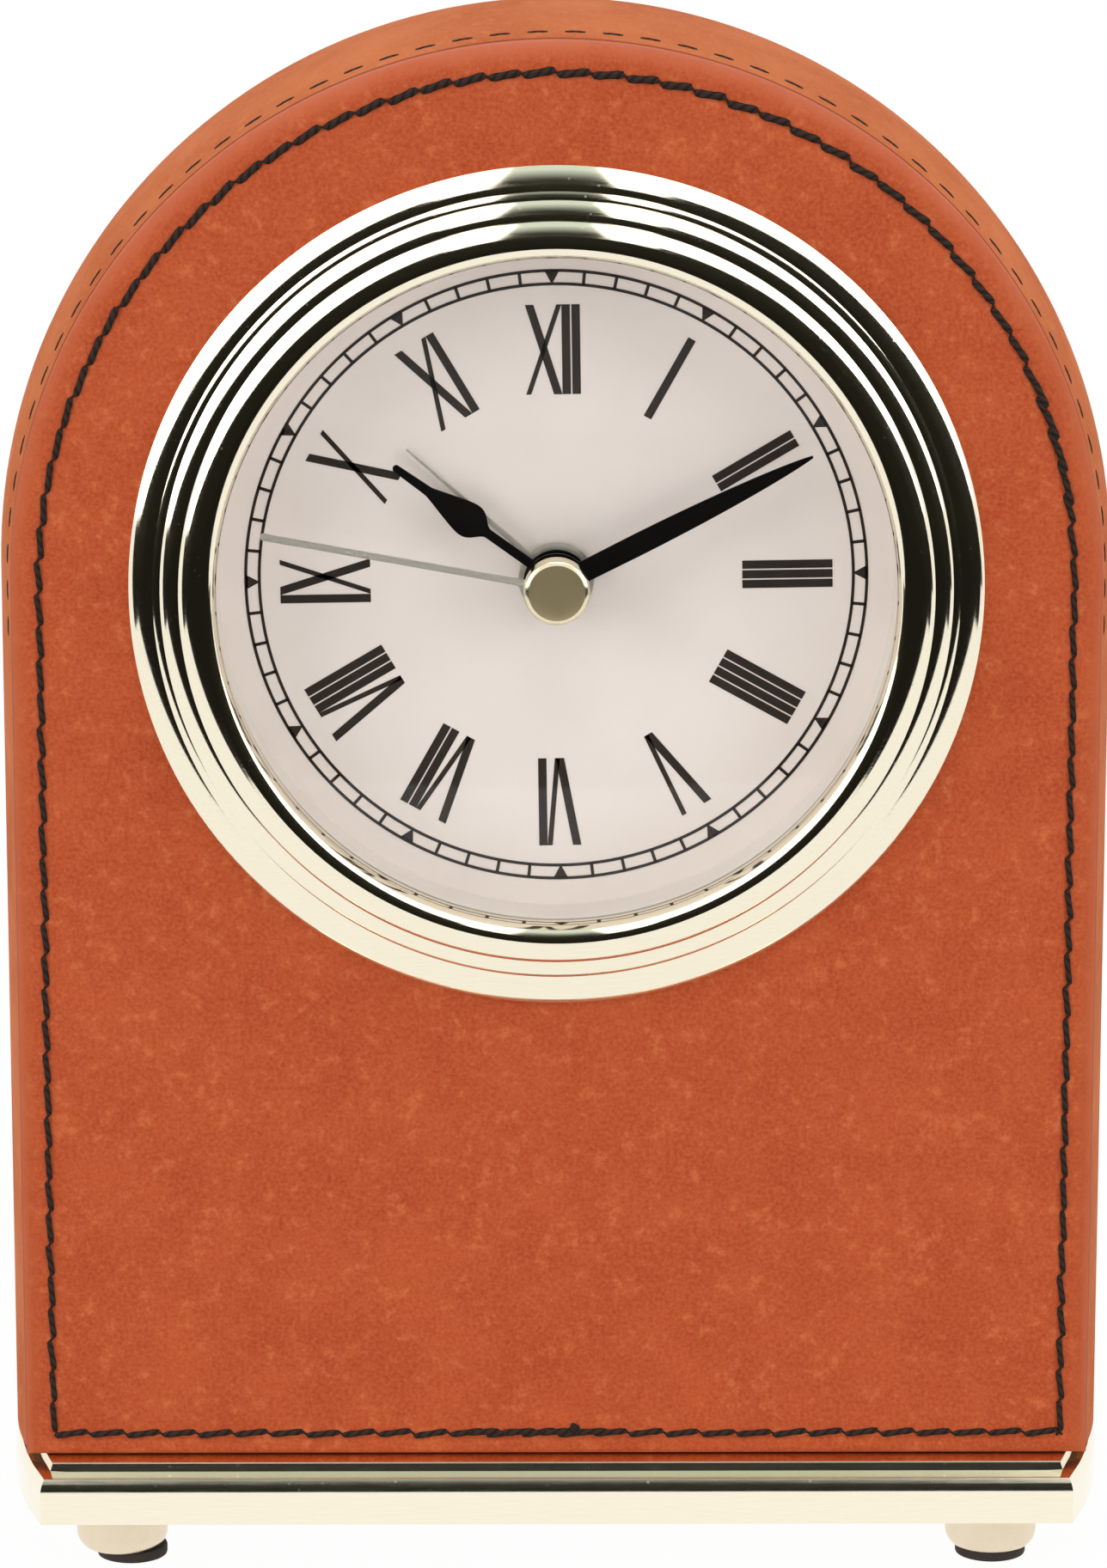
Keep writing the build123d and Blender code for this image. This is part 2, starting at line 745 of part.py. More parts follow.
# Movement cover: battery mouth, knob holes, switch slot and sound holes
cover = plate(movement_form, cover_y, cover_back)
cover -= block(cell_length + cell_nub_length + 2 * bay_gap, 2 * bay_half, cover_y, cover_back, 0, cell_z)
for x, z in (set_at, alarm_at):
    cover -= disc(shaft_radius + shaft_gap, cover_y, cover_back, x, z)
for x, z in pillars:
    cover -= disc(screw_radius + screw_gap, cover_y, cover_back, x, z)
slot_wide = switch_wide + 2 * switch_gap
slot_tall = switch_tall + switch_travel + 2 * switch_gap
slot_z = switch_z + switch_travel / 2
cover -= block(slot_wide, slot_tall, cover_y, cover_back, switch_x, slot_z)
for i in range(sound_hole_count):
    x, z = polar(sound_hole_ring, i * 360 / sound_hole_count)
    cover -= disc(sound_hole_radius, cover_y, cover_back, buzzer_x + x, buzzer_z + z)
save("movement_cover", cover)

# Sleeves that keep the cover off the train plate round each screw
spacers = [sleeve(pillar_radius, screw_radius + screw_gap, plate_rear_y, cover_y, x, z) for x, z in pillars]
save("plate_spacers", *spacers)

# Motor: stator with a core bar, coil wound on the bar
stator = block(2 * lobe, 2 * lobe, stator_y, stator_back, rotor_x, rotor_z)
stator += block(core_length, core_width, stator_y, stator_back, rotor_x + lobe + core_length / 2, rotor_z)
stator -= disc(magnet_radius + stator_gap, stator_y, stator_back, rotor_x, rotor_z)
save("stator", stator)
coil_y = (stator_y + stator_back) / 2
coil_plane = Plane(origin=(coil_start, coil_y, dial_z + rotor_z), x_dir=(0, 1, 0), z_dir=(1, 0, 0))
coil = extrude(coil_plane * Circle(coil_radius), coil_length)
for start in (0, coil_length - coil_flange):
    coil += extrude(coil_plane.offset(start) * Circle(coil_radius + coil_flange_rise), coil_flange)
coil -= block(coil_length, core_width, stator_y, stator_back, coil_start + coil_length / 2, rotor_z)
save("coil", coil)

# Circuit board on the train plate, with its crystal can, and the sounder under the cover
circuit_back = plate_rear_y + circuit_depth
circuit = block(circuit_wide, circuit_tall, plate_rear_y, circuit_back, circuit_x, circuit_z)
circuit -= disc(shaft_radius + 2 * shaft_gap, plate_rear_y, circuit_back, *set_at)
save("circuit_board", circuit)
crystal_plane = Plane(
    origin=(circuit_x - crystal_length / 2, circuit_back + crystal_radius, dial_z + circuit_z + crystal_lift),
    x_dir=(0, 1, 0),
    z_dir=(1, 0, 0),
)
save("quartz_crystal", extrude(crystal_plane * Circle(crystal_radius), crystal_length))
save("buzzer", disc(buzzer_radius, cover_y - buzzer_depth, cover_y, buzzer_x, buzzer_z))

# Battery and its contacts
cell_y = cover_back - bay_gap - cell_radius
cell_end = (cell_length + cell_nub_length) / 2
cell_plane = Plane(origin=(-cell_end, cell_y, dial_z + cell_z), x_dir=(0, 1, 0), z_dir=(1, 0, 0))
cell = extrude(cell_plane * Circle(cell_radius), cell_length)
cell += extrude(cell_plane.offset(cell_length) * Circle(cell_nub_radius), cell_nub_length)
save("battery", cell)
tongue_wide = inner_half - cell_end - contact_gap
leaf_x = inner_half - contact_depth / 2
tongue_x = inner_half - tongue_wide / 2
tongue_front = cell_y - contact_depth
tongue_back = cell_y + contact_depth
contact_front = bay_y + bay_wall
contacts = []
for side in (-1, 1):
    leaf = block(contact_depth, contact_width, contact_front, cover_y, side * leaf_x, cell_z)
    tongue = block(tongue_wide, tongue_height, tongue_front, tongue_back, side * tongue_x, cell_z)
    contacts.append(leaf + tongue)
save("battery_contacts", *contacts)


# Knobs: fluted grip, shaft and pinion in one piece
def knob(x, z, pinion):
    grip_front = cover_back + knob_lift
    grip = disc(knob_radius, grip_front, grip_front + knob_depth, x, z)
    for i in range(knob_flutes):
        flute_x, flute_z = polar(knob_radius, i * 360 / knob_flutes)
        grip -= disc(knob_flute_radius, grip_front, grip_front + knob_depth, x + flute_x, z + flute_z)
    return grip + disc(shaft_radius, pinion.bounding_box().max.Y, grip_front, x, z) + pinion


set_pinion = gear(set_teeth, motion_module, cannon_front, pinion_depth, *set_at, set_phase)
save("time_set_knob", knob(*set_at, set_pinion))
alarm_knob_pinion = gear(
    alarm_pinion_teeth, alarm_module, alarm_layer, wheel_depth, *alarm_at, alarm_knob_phase
)
save("alarm_set_knob", knob(*alarm_at, alarm_knob_pinion))

# Alarm switch: a slider with a flange under the cover
switch = block(switch_wide, switch_tall, cover_y - switch_gap, cover_back + switch_lift, switch_x, switch_z)
flange_back = cover_y - switch_gap
flange_front = flange_back - switch_flange_depth
flange_wide = slot_wide + 2 * switch_flange
switch += block(flange_wide, switch_tall, flange_front, flange_back, switch_x, switch_z)
save("alarm_switch", switch)


# Hands: flat blades on round hubs, turned clockwise from twelve
def hand(outline, hub, bore, lift, angle):
    blade = make_face(outline)
    blade += mirror(blade, Plane.YZ)
    shape = blade + Circle(hub) - Circle(bore)
    back = dial_front - lift
    return plate(shape, back - hand_depth, back).rotate(Axis((0, 0, dial_z), (0, 1, 0)), angle)


def straight_blade(root_width, tip_width, length):
    return Polyline((0, 0), (root_width / 2, 0), (tip_width / 2, length), (0, length), close=True)


alarm_blade = straight_blade(alarm_width, alarm_tip, alarm_length)
save("alarm_hand", hand(alarm_blade, alarm_hub, alarm_tube, alarm_lift, alarm_angle))
hour_shoulder = hour_pear_at - (hour_pear_at - hour_stem_end) / 2
hour_outline = [
    Polyline((0, 0), (hour_stem / 2, 0), (hour_stem / 2, hour_stem_end)),
    Bezier(
        (hour_stem / 2, hour_stem_end),
        (hour_stem / 2, hour_shoulder),
        (hour_pear / 2, hour_shoulder),
        (hour_pear / 2, hour_pear_at),
    ),
    Bezier(
        (hour_pear / 2, hour_pear_at),
        (hour_pear / 2, hour_pear_at + hour_pear),
        (hour_tip / 2, hour_pear_at + hour_pear),
        (hour_tip / 2, hour_length),
    ),
    Polyline((hour_tip / 2, hour_length), (0, hour_length), (0, 0)),
]
save("hour_hand", hand(hour_outline, hour_hub, hour_tube, hour_lift, hour_angle))
minute_outline = Polyline(
    (0, 0),
    (minute_root / 2, 0),
    (minute_leaf / 2, minute_leaf_at),
    (minute_tip / 2, minute_length),
    (0, minute_length),
    close=True,
)
save("minute_hand", hand(minute_outline, minute_hub, minute_tube, minute_lift, minute_angle))
second_blade = straight_blade(second_width, second_tip, second_length)
save("second_hand", hand(second_blade, second_hub, arbor_radius, second_lift, second_angle))

# Cap over the hands' centre
cap_back = dial_front - second_lift - hand_depth
cap_front = cap_back - cap_depth
cap = disc(cap_radius, cap_front, cap_back)
cap = chamfer(cap.faces().sort_by(Axis.Y)[0].edges(), cap_bevel, cap_radius - cap_face_radius)
save("second_hand_cap", cap - disc(arbor_radius, second_front, cap_back))
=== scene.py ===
import bpy
import math
import random
from mathutils import Matrix, Vector
from mathutils.geometry import interpolate_bezier


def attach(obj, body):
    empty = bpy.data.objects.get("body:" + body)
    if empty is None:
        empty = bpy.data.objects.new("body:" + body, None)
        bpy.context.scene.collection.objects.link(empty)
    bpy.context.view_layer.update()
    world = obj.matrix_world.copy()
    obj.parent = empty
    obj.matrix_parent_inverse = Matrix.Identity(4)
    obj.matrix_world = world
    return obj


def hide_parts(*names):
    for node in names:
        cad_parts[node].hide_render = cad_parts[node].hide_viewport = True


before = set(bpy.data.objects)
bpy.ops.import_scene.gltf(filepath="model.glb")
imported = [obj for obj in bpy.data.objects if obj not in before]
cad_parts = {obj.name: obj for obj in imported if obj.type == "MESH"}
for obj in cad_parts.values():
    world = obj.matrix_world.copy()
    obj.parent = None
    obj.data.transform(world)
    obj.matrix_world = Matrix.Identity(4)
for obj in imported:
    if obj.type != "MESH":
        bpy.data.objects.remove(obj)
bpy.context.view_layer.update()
print("frame loaded:", len(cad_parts), "nodes")

mm = 0.001
# shared places of the clock, in mm, the dial faces -Y
dialZ, baseTop, baseLow, slabTop = 96.1, 10.5, 5.4, 9.8
frontY, panelBack, rearY, dialFront = -16.5, -13.7, 12.9, -11.2
panelRadius, bandBow = 51.2, 1.75
seam = 0.002  # points closer than this, in mm, become one
facing = 0.9  # a face with this share of a direction looks that way


# small helpers for modelling
def toMode(mode):
    bpy.ops.object.mode_set(mode=mode)


def clearSelection():
    if bpy.context.object and bpy.context.object.mode != "OBJECT":
        toMode("OBJECT")
    bpy.ops.object.select_all(action="DESELECT")


def makeActive(piece):
    clearSelection()
    piece.select_set(True)
    bpy.context.view_layer.objects.active = piece


def editAll(piece):
    makeActive(piece)
    toMode("EDIT")
    bpy.ops.mesh.select_all(action="SELECT")


def extrude(move):  # move in metres
    bpy.ops.mesh.extrude_region_move(TRANSFORM_OT_translate={"value": move})


def settle():  # puts the origin of the active piece back to zero
    bpy.ops.object.transform_apply(location=True, rotation=True, scale=True)


def drawChain(name, points):  # a run of edges, pulled out vertex by vertex, points in mm
    clearSelection()
    spots = [Vector(p) * mm for p in points]
    bpy.ops.mesh.primitive_plane_add(size=mm, location=spots[0])
    piece = bpy.context.object
    piece.name = piece.data.name = name
    toMode("EDIT")
    bpy.ops.mesh.select_mode(type="VERT")
    bpy.ops.mesh.select_all(action="SELECT")
    bpy.ops.mesh.merge(type="CENTER")
    for before, after in zip(spots, spots[1:]):
        extrude(after - before)
    toMode("OBJECT")
    settle()
    return piece


def closeSeams(piece):
    editAll(piece)
    bpy.ops.mesh.remove_doubles(threshold=seam * mm)
    bpy.ops.mesh.normals_make_consistent(inside=False)
    toMode("OBJECT")


def pick(piece, kind, test):  # a face is tested by its direction, a vertex by its place in mm
    makeActive(piece)
    toMode("EDIT")
    bpy.ops.mesh.select_mode(type=kind)
    bpy.ops.mesh.select_all(action="DESELECT")
    toMode("OBJECT")
    if kind == "FACE":
        found = [(face, face.normal) for face in piece.data.polygons]
    else:
        found = [(vertex, vertex.co / mm) for vertex in piece.data.vertices]
    for part, value in found:
        part.select = bool(test(value))
    toMode("EDIT")


def resizePart(piece, test, value, centre=(0, 0, 0)):  # stretches the vertices that pass the test
    pick(piece, "VERT", test)
    bpy.ops.transform.resize(value=value, center_override=centre)
    toMode("OBJECT")


def applyModifier(piece, kind, **settings):
    makeActive(piece)
    bpy.ops.object.modifier_add(type=kind)
    step = piece.modifiers[-1]
    for key, value in settings.items():
        setattr(step, key, value)
    bpy.ops.object.modifier_apply(modifier=step.name)


def smooth(piece, degrees):
    makeActive(piece)
    bpy.ops.object.shade_smooth_by_angle(angle=math.radians(degrees))
    applyModifier(piece, "WEIGHTED_NORMAL", keep_sharp=True, weight=100)


def fillOutline(name, points):  # a closed flat face
    piece = drawChain(name, list(points) + [points[0]])
    editAll(piece)
    bpy.ops.mesh.remove_doubles(threshold=seam * mm)
    bpy.ops.mesh.edge_face_add()
    toMode("OBJECT")
    return piece


def pushOut(piece, move):  # lifts a flat outline into a solid, move in mm
    editAll(piece)
    extrude(Vector(move) * mm)
    toMode("OBJECT")
    closeSeams(piece)


def stepIn(piece, direction, steps):  # insets one side again and again: (inwards, outwards) in mm
    pick(piece, "FACE", lambda normal: normal.dot(Vector(direction)) > facing)
    for inwards, outwards in steps:
        bpy.ops.mesh.inset(thickness=inwards * mm, depth=outwards * mm, use_even_offset=True)
    toMode("OBJECT")


def quarterTurns(count):
    return [math.pi / 2 * i / count for i in range(count + 1)]


def arcSteps(radius, turns):  # inset steps along an arc
    return [(radius * (math.sin(a) - math.sin(b)), radius * (math.cos(b) - math.cos(a)))
            for a, b in zip(turns, turns[1:])]


def quarterRound(radius, count):  # inset steps of a rounded edge
    return arcSteps(radius, quarterTurns(count)[::-1])


def spinUp(name, profile, centre, axis, count):  # profile in mm, in the plane of the axis
    piece = drawChain(name, profile)
    editAll(piece)
    bpy.ops.mesh.spin(steps=count, angle=2 * math.pi, center=Vector(centre) * mm, axis=axis)
    toMode("OBJECT")
    closeSeams(piece)
    return piece


def spinDial(name, line, count):  # pairs of radius and depth, turned round the dial's axis
    profile = [(x, y, dialZ) for x, y in line]
    return spinUp(name, profile, (0, 0, dialZ), (0, 1, 0), count)


def arc(start, middle, end, count):  # points on the circle through three points of a plane
    (ax, ay), (bx, by), (cx, cy) = start, middle, end
    aa, bb, cc = ax * ax + ay * ay, bx * bx + by * by, cx * cx + cy * cy
    d = 2 * (ax * (by - cy) + bx * (cy - ay) + cx * (ay - by))
    ux = (aa * (by - cy) + bb * (cy - ay) + cc * (ay - by)) / d
    uy = (aa * (cx - bx) + bb * (ax - cx) + cc * (bx - ax)) / d
    radius = math.hypot(ax - ux, ay - uy)
    first = math.atan2(ay - uy, ax - ux)
    last = math.atan2(cy - uy, cx - ux)
    turn = (last - first + math.pi) % (2 * math.pi) - math.pi
    turns = [first + turn * i / count for i in range(count + 1)]
    return [(ux + radius * math.cos(a), uy + radius * math.sin(a)) for a in turns]


def cutBore(piece, radius, y, depth, count):  # a round hole along the dial's axis
    clearSelection()
    place = (0, y * mm, dialZ * mm)
    bpy.ops.mesh.primitive_cylinder_add(vertices=count, radius=radius * mm, depth=depth * mm,
                                        location=place, rotation=(math.pi / 2, 0, 0))
    cutter = bpy.context.object
    applyModifier(piece, "BOOLEAN", operation="DIFFERENCE", object=cutter, solver="EXACT")
    bpy.data.objects.remove(cutter)


def fit(piece, body, finish, slot, *nodes):  # hands a finished piece to its body
    makeActive(piece)
    settle()
    piece.data.materials.clear()
    piece.data.materials.append(finish)
    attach(piece, body)
    if nodes:
        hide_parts(*nodes)


def copyPiece(piece, name, place):  # place as a matrix
    twin = piece.copy()
    twin.data = piece.data.copy()
    twin.name = twin.data.name = name
    bpy.context.scene.collection.objects.link(twin)
    twin.data.transform(place)
    return twin


def shift(x, y, z):  # a move in mm as a matrix
    return Matrix.Translation(Vector((x, y, z)) * mm)


def joinPieces(name, pieces):
    clearSelection()
    for piece in pieces:
        piece.select_set(True)
    bpy.context.view_layer.objects.active = pieces[0]
    bpy.ops.object.join()
    pieces[0].name = pieces[0].data.name = name
    return pieces[0]


# small helpers for materials
def tone(red, green, blue):  # a colour as a picture program shows it
    def linear(value):
        value = value / 255
        return value / 12.92 if value <= 0.04045 else ((value + 0.055) / 1.055) ** 2.4
    return (linear(red), linear(green), linear(blue), 1.0)


def feed(tree, node, inputs):  # links or sets a node's inputs
    for key, value in inputs.items():
        if isinstance(value, bpy.types.NodeSocket):
            tree.links.new(value, node.inputs[key])
        else:
            node.inputs[key].default_value = value


def addNode(tree, kind, inputs=None, **settings):
    made = tree.nodes.new(kind)
    for key, value in settings.items():
        setattr(made, key, value)
    feed(tree, made, inputs or {})
    return made


def calc(tree, operation, *values):
    return addNode(tree, "ShaderNodeMath", dict(enumerate(values)), operation=operation).outputs[0]


def times(tree, first, second):
    return calc(tree, "MULTIPLY", first, second)


def blend(tree, factor, first, second):
    return addNode(tree, "ShaderNodeMix", {0: factor, 6: first, 7: second}, data_type="RGBA").outputs[2]


def spread(tree, value, low, high, newLow=0.0, newHigh=1.0):
    given = {0: value, 1: low, 2: high, 3: newLow, 4: newHigh}
    return addNode(tree, "ShaderNodeMapRange", given).outputs[0]


def noise(tree, spot, scale, detail, rough=0.5):
    given = {"Vector": spot, "Scale": scale, "Detail": detail, "Roughness": rough}
    return addNode(tree, "ShaderNodeTexNoise", given).outputs[0]


def cells(tree, spot, scale):  # distance to the nearest of many scattered points
    return addNode(tree, "ShaderNodeTexVoronoi", {"Vector": spot, "Scale": scale}).outputs["Distance"]


def scaled(tree, spot, factors):
    return addNode(tree, "ShaderNodeVectorMath", {0: spot, 1: factors}, operation="MULTIPLY").outputs[0]


def objectSpot(tree):
    return addNode(tree, "ShaderNodeTexCoord").outputs["Object"]


def splitUp(tree, spot):  # x, y and z
    return list(addNode(tree, "ShaderNodeSeparateXYZ", {0: spot}).outputs)


def objectParts(tree):  # x, y and z in mm
    return splitUp(tree, scaled(tree, objectSpot(tree), [1 / mm] * 3))


def reachOf(tree, first, second):  # length of two steps at right angles
    return calc(tree, "SQRT", calc(tree, "ADD", times(tree, first, first), times(tree, second, second)))


def newMaterial(name, **fixed):
    finish = bpy.data.materials.new(name)
    finish.use_nodes = True
    tree = finish.node_tree
    shader = tree.nodes["Principled BSDF"]
    feed(tree, shader, {key.replace("_", " "): value for key, value in fixed.items()})
    return finish, tree, shader


def newGroup(name, inputs, outputs):
    tree = bpy.data.node_groups.new(name, "ShaderNodeTree")
    for label, value in inputs.items():
        tree.interface.new_socket(label, in_out="INPUT", socket_type="NodeSocketFloat").default_value = value
    for label in outputs:
        tree.interface.new_socket(label, in_out="OUTPUT", socket_type="NodeSocketFloat")
    return tree, addNode(tree, "NodeGroupInput").outputs, addNode(tree, "NodeGroupOutput")


def useGroup(tree, group, **inputs):
    return addNode(tree, "ShaderNodeGroup", inputs, node_tree=group).outputs


def bumpFrom(tree, shader, height, strength, distance):
    given = {"Height": height, "Strength": strength, "Distance": distance * mm}
    feed(tree, shader, {"Normal": addNode(tree, "ShaderNodeBump", given).outputs[0]})


# effects that several finishes share, each noise with its detail and roughness
hideSettings = {
    "scales": {"Cloud": 120.0, "Nap": 2600.0, "Pore": 900.0, "Scuff": 700.0},
    "cloud": (6.0, 0.62), "nap": (3.0, 0.6), "scuff": (5.0, 0.7),
    "cloudRange": (0.3, 0.7), "napRange": (0.35, 0.68, 0.0, 0.62), "scuffRange": (0.5, 0.67),
    "poreRange": (0.0, 0.55), "napShare": 0.55, "poreShare": 0.45,
}
polishSettings = {
    "lanes": {"Along": 300.0, "Across": 6000.0}, "detail": 2.0, "markRange": (0.3, 0.75),
    "speckScale": 700.0, "speckRange": (0.12, 0.03),
}
mouldSettings = {
    "scales": {"Grain": 3500.0, "Cloud": 90.0}, "grainDetail": 2.0, "cloudDetail": 4.0,
    "cloudRange": (0.3, 0.7),
}


def makeHide(s):  # nap, pores and cloudy tone of a brushed hide
    tree, given, put = newGroup("hide", s["scales"], ["Tone", "Fleck", "Height"])
    spot = objectSpot(tree)
    cloud = noise(tree, spot, given["Cloud"], *s["cloud"])
    nap = noise(tree, spot, given["Nap"], *s["nap"])
    scuff = noise(tree, spot, given["Scuff"], *s["scuff"])
    dents = spread(tree, cells(tree, spot, given["Pore"]), *s["poreRange"])
    flecks = calc(tree, "MAXIMUM", spread(tree, nap, *s["napRange"]), spread(tree, scuff, *s["scuffRange"]))
    raised = calc(tree, "ADD", times(tree, nap, s["napShare"]), times(tree, dents, s["poreShare"]))
    feed(tree, put, {"Tone": spread(tree, cloud, *s["cloudRange"]), "Fleck": flecks, "Height": raised})
    return tree


def makePolish(s):  # faint wipe marks and specks of polished metal
    tree, given, put = newGroup("polish", s["lanes"], ["Marks", "Specks"])
    spot = objectSpot(tree)
    lanes = addNode(tree, "ShaderNodeCombineXYZ", {0: given["Along"], 1: given["Across"], 2: given["Across"]})
    marks = noise(tree, scaled(tree, spot, lanes.outputs[0]), 1.0, s["detail"])
    specks = spread(tree, cells(tree, spot, s["speckScale"]), *s["speckRange"])
    feed(tree, put, {"Marks": spread(tree, marks, *s["markRange"]), "Specks": specks})
    return tree


def makeMould(s):  # fine spark texture and cloudy gloss of moulded pieces
    tree, given, put = newGroup("mould", s["scales"], ["Cloud", "Height"])
    spot = objectSpot(tree)
    grain = noise(tree, spot, given["Grain"], s["grainDetail"])
    cloud = noise(tree, spot, given["Cloud"], s["cloudDetail"])
    feed(tree, put, {"Cloud": spread(tree, cloud, *s["cloudRange"]), "Height": grain})
    return tree


hide = makeHide(hideSettings)
polish = makePolish(polishSettings)
mould = makeMould(mouldSettings)
print("shared effects ready")

# finishes, with distances in mm
leatherSettings = {
    "fleck": 0.6, "rough": (0.82, 0.64), "bump": (0.35, 0.08),
    "rubFrom": 1.9, "rubTo": 0.5, "rubShare": (0.55, 1.0),
    # painted shade on the panel's side near the band, fading out over the arch; then painted shade on the
    # band beside the panel
    "sideShadeFrom": 0.8, "sideShadeTo": 1.28, "sideShadeShare": 0.8, "sideShadeTone": tone(110, 42, 20),
    "sideShadeLow": 10, "sideShadeHigh": 25,
    "jointShadeFrom": 0.12, "jointShadeTo": 0.45, "jointShadeShare": 0.85,
}
metalSettings = {"dim": 0.97, "speck": 0.12}
mouldedSettings = {"duller": 0.12, "bump": 0.3}


def leatherFinish(name, dark, light, fleck, edge=None, jointShade=None, cloud=120.0, **fixed):
    s = leatherSettings
    finish, tree, shader = newMaterial(name, **fixed)
    skin = useGroup(tree, hide, Cloud=cloud)
    colour = blend(tree, skin["Tone"], dark, light)
    colour = blend(tree, times(tree, skin["Fleck"], s["fleck"]), colour, fleck)
    if edge:  # the rolled edge is rubbed paler, and its side gets painted shade towards the band, darker below the arch
        x, y, z = objectParts(tree)
        over = calc(tree, "MAXIMUM", calc(tree, "SUBTRACT", z, dialZ), 0.0)
        rub = spread(tree, reachOf(tree, x, over), panelRadius - s["rubFrom"], panelRadius - s["rubTo"])
        rub = times(tree, rub, spread(tree, skin["Tone"], 0.0, 1.0, *s["rubShare"]))
        colour = blend(tree, rub, colour, edge)
        paintedShade = spread(tree, y, frontY + s["sideShadeFrom"], frontY + s["sideShadeTo"], 0.0, s["sideShadeShare"])
        paintedShade = times(tree, paintedShade, spread(tree, z, dialZ - s["sideShadeLow"], dialZ + s["sideShadeHigh"], 1.0, 0.0))
        colour = blend(tree, paintedShade, colour, s["sideShadeTone"])
    if jointShade:  # painted shade on the band in the joint beside the front panel
        y = objectParts(tree)[1]
        paintedShade = spread(tree, y, panelBack + s["jointShadeFrom"], panelBack + s["jointShadeTo"], s["jointShadeShare"], 0.0)
        colour = blend(tree, paintedShade, colour, jointShade)
    feed(tree, shader, {"Base Color": colour, "Roughness": spread(tree, skin["Tone"], 0.0, 1.0, *s["rough"])})
    bumpFrom(tree, shader, skin["Height"], *s["bump"])
    return finish


def metalFinish(name, colour, rough, rougher, along=300.0, across=6000.0):
    s = metalSettings
    finish, tree, shader = newMaterial(name, Metallic=1.0)
    worn = useGroup(tree, polish, Along=along, Across=across)
    full = colour + (1.0,)
    dim = tuple(c * s["dim"] for c in colour) + (1.0,)
    gloss = spread(tree, worn["Marks"], 0.0, 1.0, rough, rougher)
    gloss = calc(tree, "ADD", gloss, times(tree, worn["Specks"], s["speck"]))
    feed(tree, shader, {"Base Color": blend(tree, worn["Marks"], full, dim), "Roughness": gloss})
    return finish


def mouldedFinish(name, colour, other, rough, grain=3500.0, depth=0.02, **fixed):
    s = mouldedSettings
    finish, tree, shader = newMaterial(name, **fixed)
    skin = useGroup(tree, mould, Grain=grain)
    gloss = spread(tree, skin["Cloud"], 0.0, 1.0, rough, rough + s["duller"])
    feed(tree, shader, {"Base Color": blend(tree, skin["Cloud"], colour, other), "Roughness": gloss})
    bumpFrom(tree, shader, skin["Height"], s["bump"], depth)
    return finish


frontLeather = leatherFinish("frontLeather", tone(170, 60, 21), tone(188, 75, 29), tone(218, 121, 70),
                             edge=tone(188, 90, 48), Sheen_Weight=0.05, Specular_IOR_Level=0.2)
# the band's darker strip beside the front panel is painted shade
bandLeather = leatherFinish("bandLeather", tone(178, 87, 44), tone(199, 111, 63), tone(208, 124, 76),
                            jointShade=tone(116, 44, 21), cloud=80.0, Specular_IOR_Level=0.06)
backLeather = leatherFinish("backLeather", tone(150, 60, 36), tone(178, 82, 52), tone(188, 92, 62),
                            Sheen_Weight=0.05, Specular_IOR_Level=0.2)
gold = metalFinish("polishedGold", (0.93, 0.86, 0.68), 0.05, 0.1)
baseGold = metalFinish("baseGold", (0.97, 0.9, 0.72), 0.09, 0.14)
footGold = metalFinish("footGold", (0.82, 0.7, 0.52), 0.24, 0.3, 700.0, 700.0)
steel = metalFinish("steel", (0.62, 0.62, 0.6), 0.22, 0.36)
copper = metalFinish("copperWire", (0.78, 0.38, 0.2), 0.25, 0.4, 8000.0, 200.0)
magnet = metalFinish("magnet", (0.26, 0.26, 0.27), 0.3, 0.5)
sounder = metalFinish("sounder", (0.8, 0.66, 0.36), 0.2, 0.35)
silver = metalFinish("handSilver", (0.82, 0.77, 0.67), 0.28, 0.42, 4000.0, 4000.0)
capRim = metalFinish("capRim", (0.88, 0.8, 0.58), 0.1, 0.2)
blackPaint = mouldedFinish("handBlack", tone(9, 7, 7), tone(14, 11, 10), 0.3, 5000.0, 0.004,
                           Specular_IOR_Level=0.06)
dialPrint = mouldedFinish("dialPrint", tone(34, 24, 17), tone(43, 32, 24), 0.55, 5000.0, 0.004,
                          Specular_IOR_Level=0.25)
dialPaint = mouldedFinish("dialPaint", tone(243, 231, 224), tone(248, 237, 230), 0.5, 2600.0, 0.006)
ringPlastic = mouldedFinish("ringPlastic", tone(222, 214, 204), tone(230, 223, 214), 0.42, 2600.0, 0.006)
blackPlastic = mouldedFinish("blackPlastic", tone(26, 26, 27), tone(34, 34, 35), 0.48, depth=0.03)
whitePlastic = mouldedFinish("whitePlastic", tone(226, 224, 216), tone(234, 232, 226), 0.4)
fibreBoard = mouldedFinish("fibreBoard", tone(112, 80, 54), tone(140, 104, 72), 0.8, 1800.0, 0.1)
padRubber = mouldedFinish("padRubber", tone(44, 34, 30), tone(58, 46, 40), 0.78, 2200.0, 0.08)
circuitGreen = mouldedFinish("circuitGreen", tone(24, 84, 52), tone(34, 104, 66), 0.35)

cellSettings = {
    "jacket": tone(34, 36, 42), "ends": (0.62, 0.61, 0.58, 1.0), "rough": 0.3, "middle": -0.5, "half": 20.6,
}
# the thread's dark and light tones are painted shade and painted highlight across the twist
threadSettings = {
    "dark": tone(20, 13, 10), "light": tone(58, 42, 33), "across": 2.0, "along": 5.0, "fuzz": (5200.0, 3.0),
    "fuzzRange": (0.3, 0.7), "plyShadingShare": (0.6, 1.0), "rough": (0.62, 0.85), "bump": (0.7, 0.1),
}
capFaceSettings = {
    "dark": (0.29, 0.23, 0.125, 1.0), "light": (0.45, 0.363, 0.212, 1.0), "ringsPerMm": 22.0, "detail": 2.0,
    "ringRange": (0.3, 0.7), "rough": (0.32, 0.46), "bump": (0.15, 0.02),
}
glassSettings = {
    "tone": (0.985, 0.99, 0.985, 1.0), "smudge": (60.0, 3.0), "smudgeRange": (0.45, 0.8, 0.0, 0.03),
}


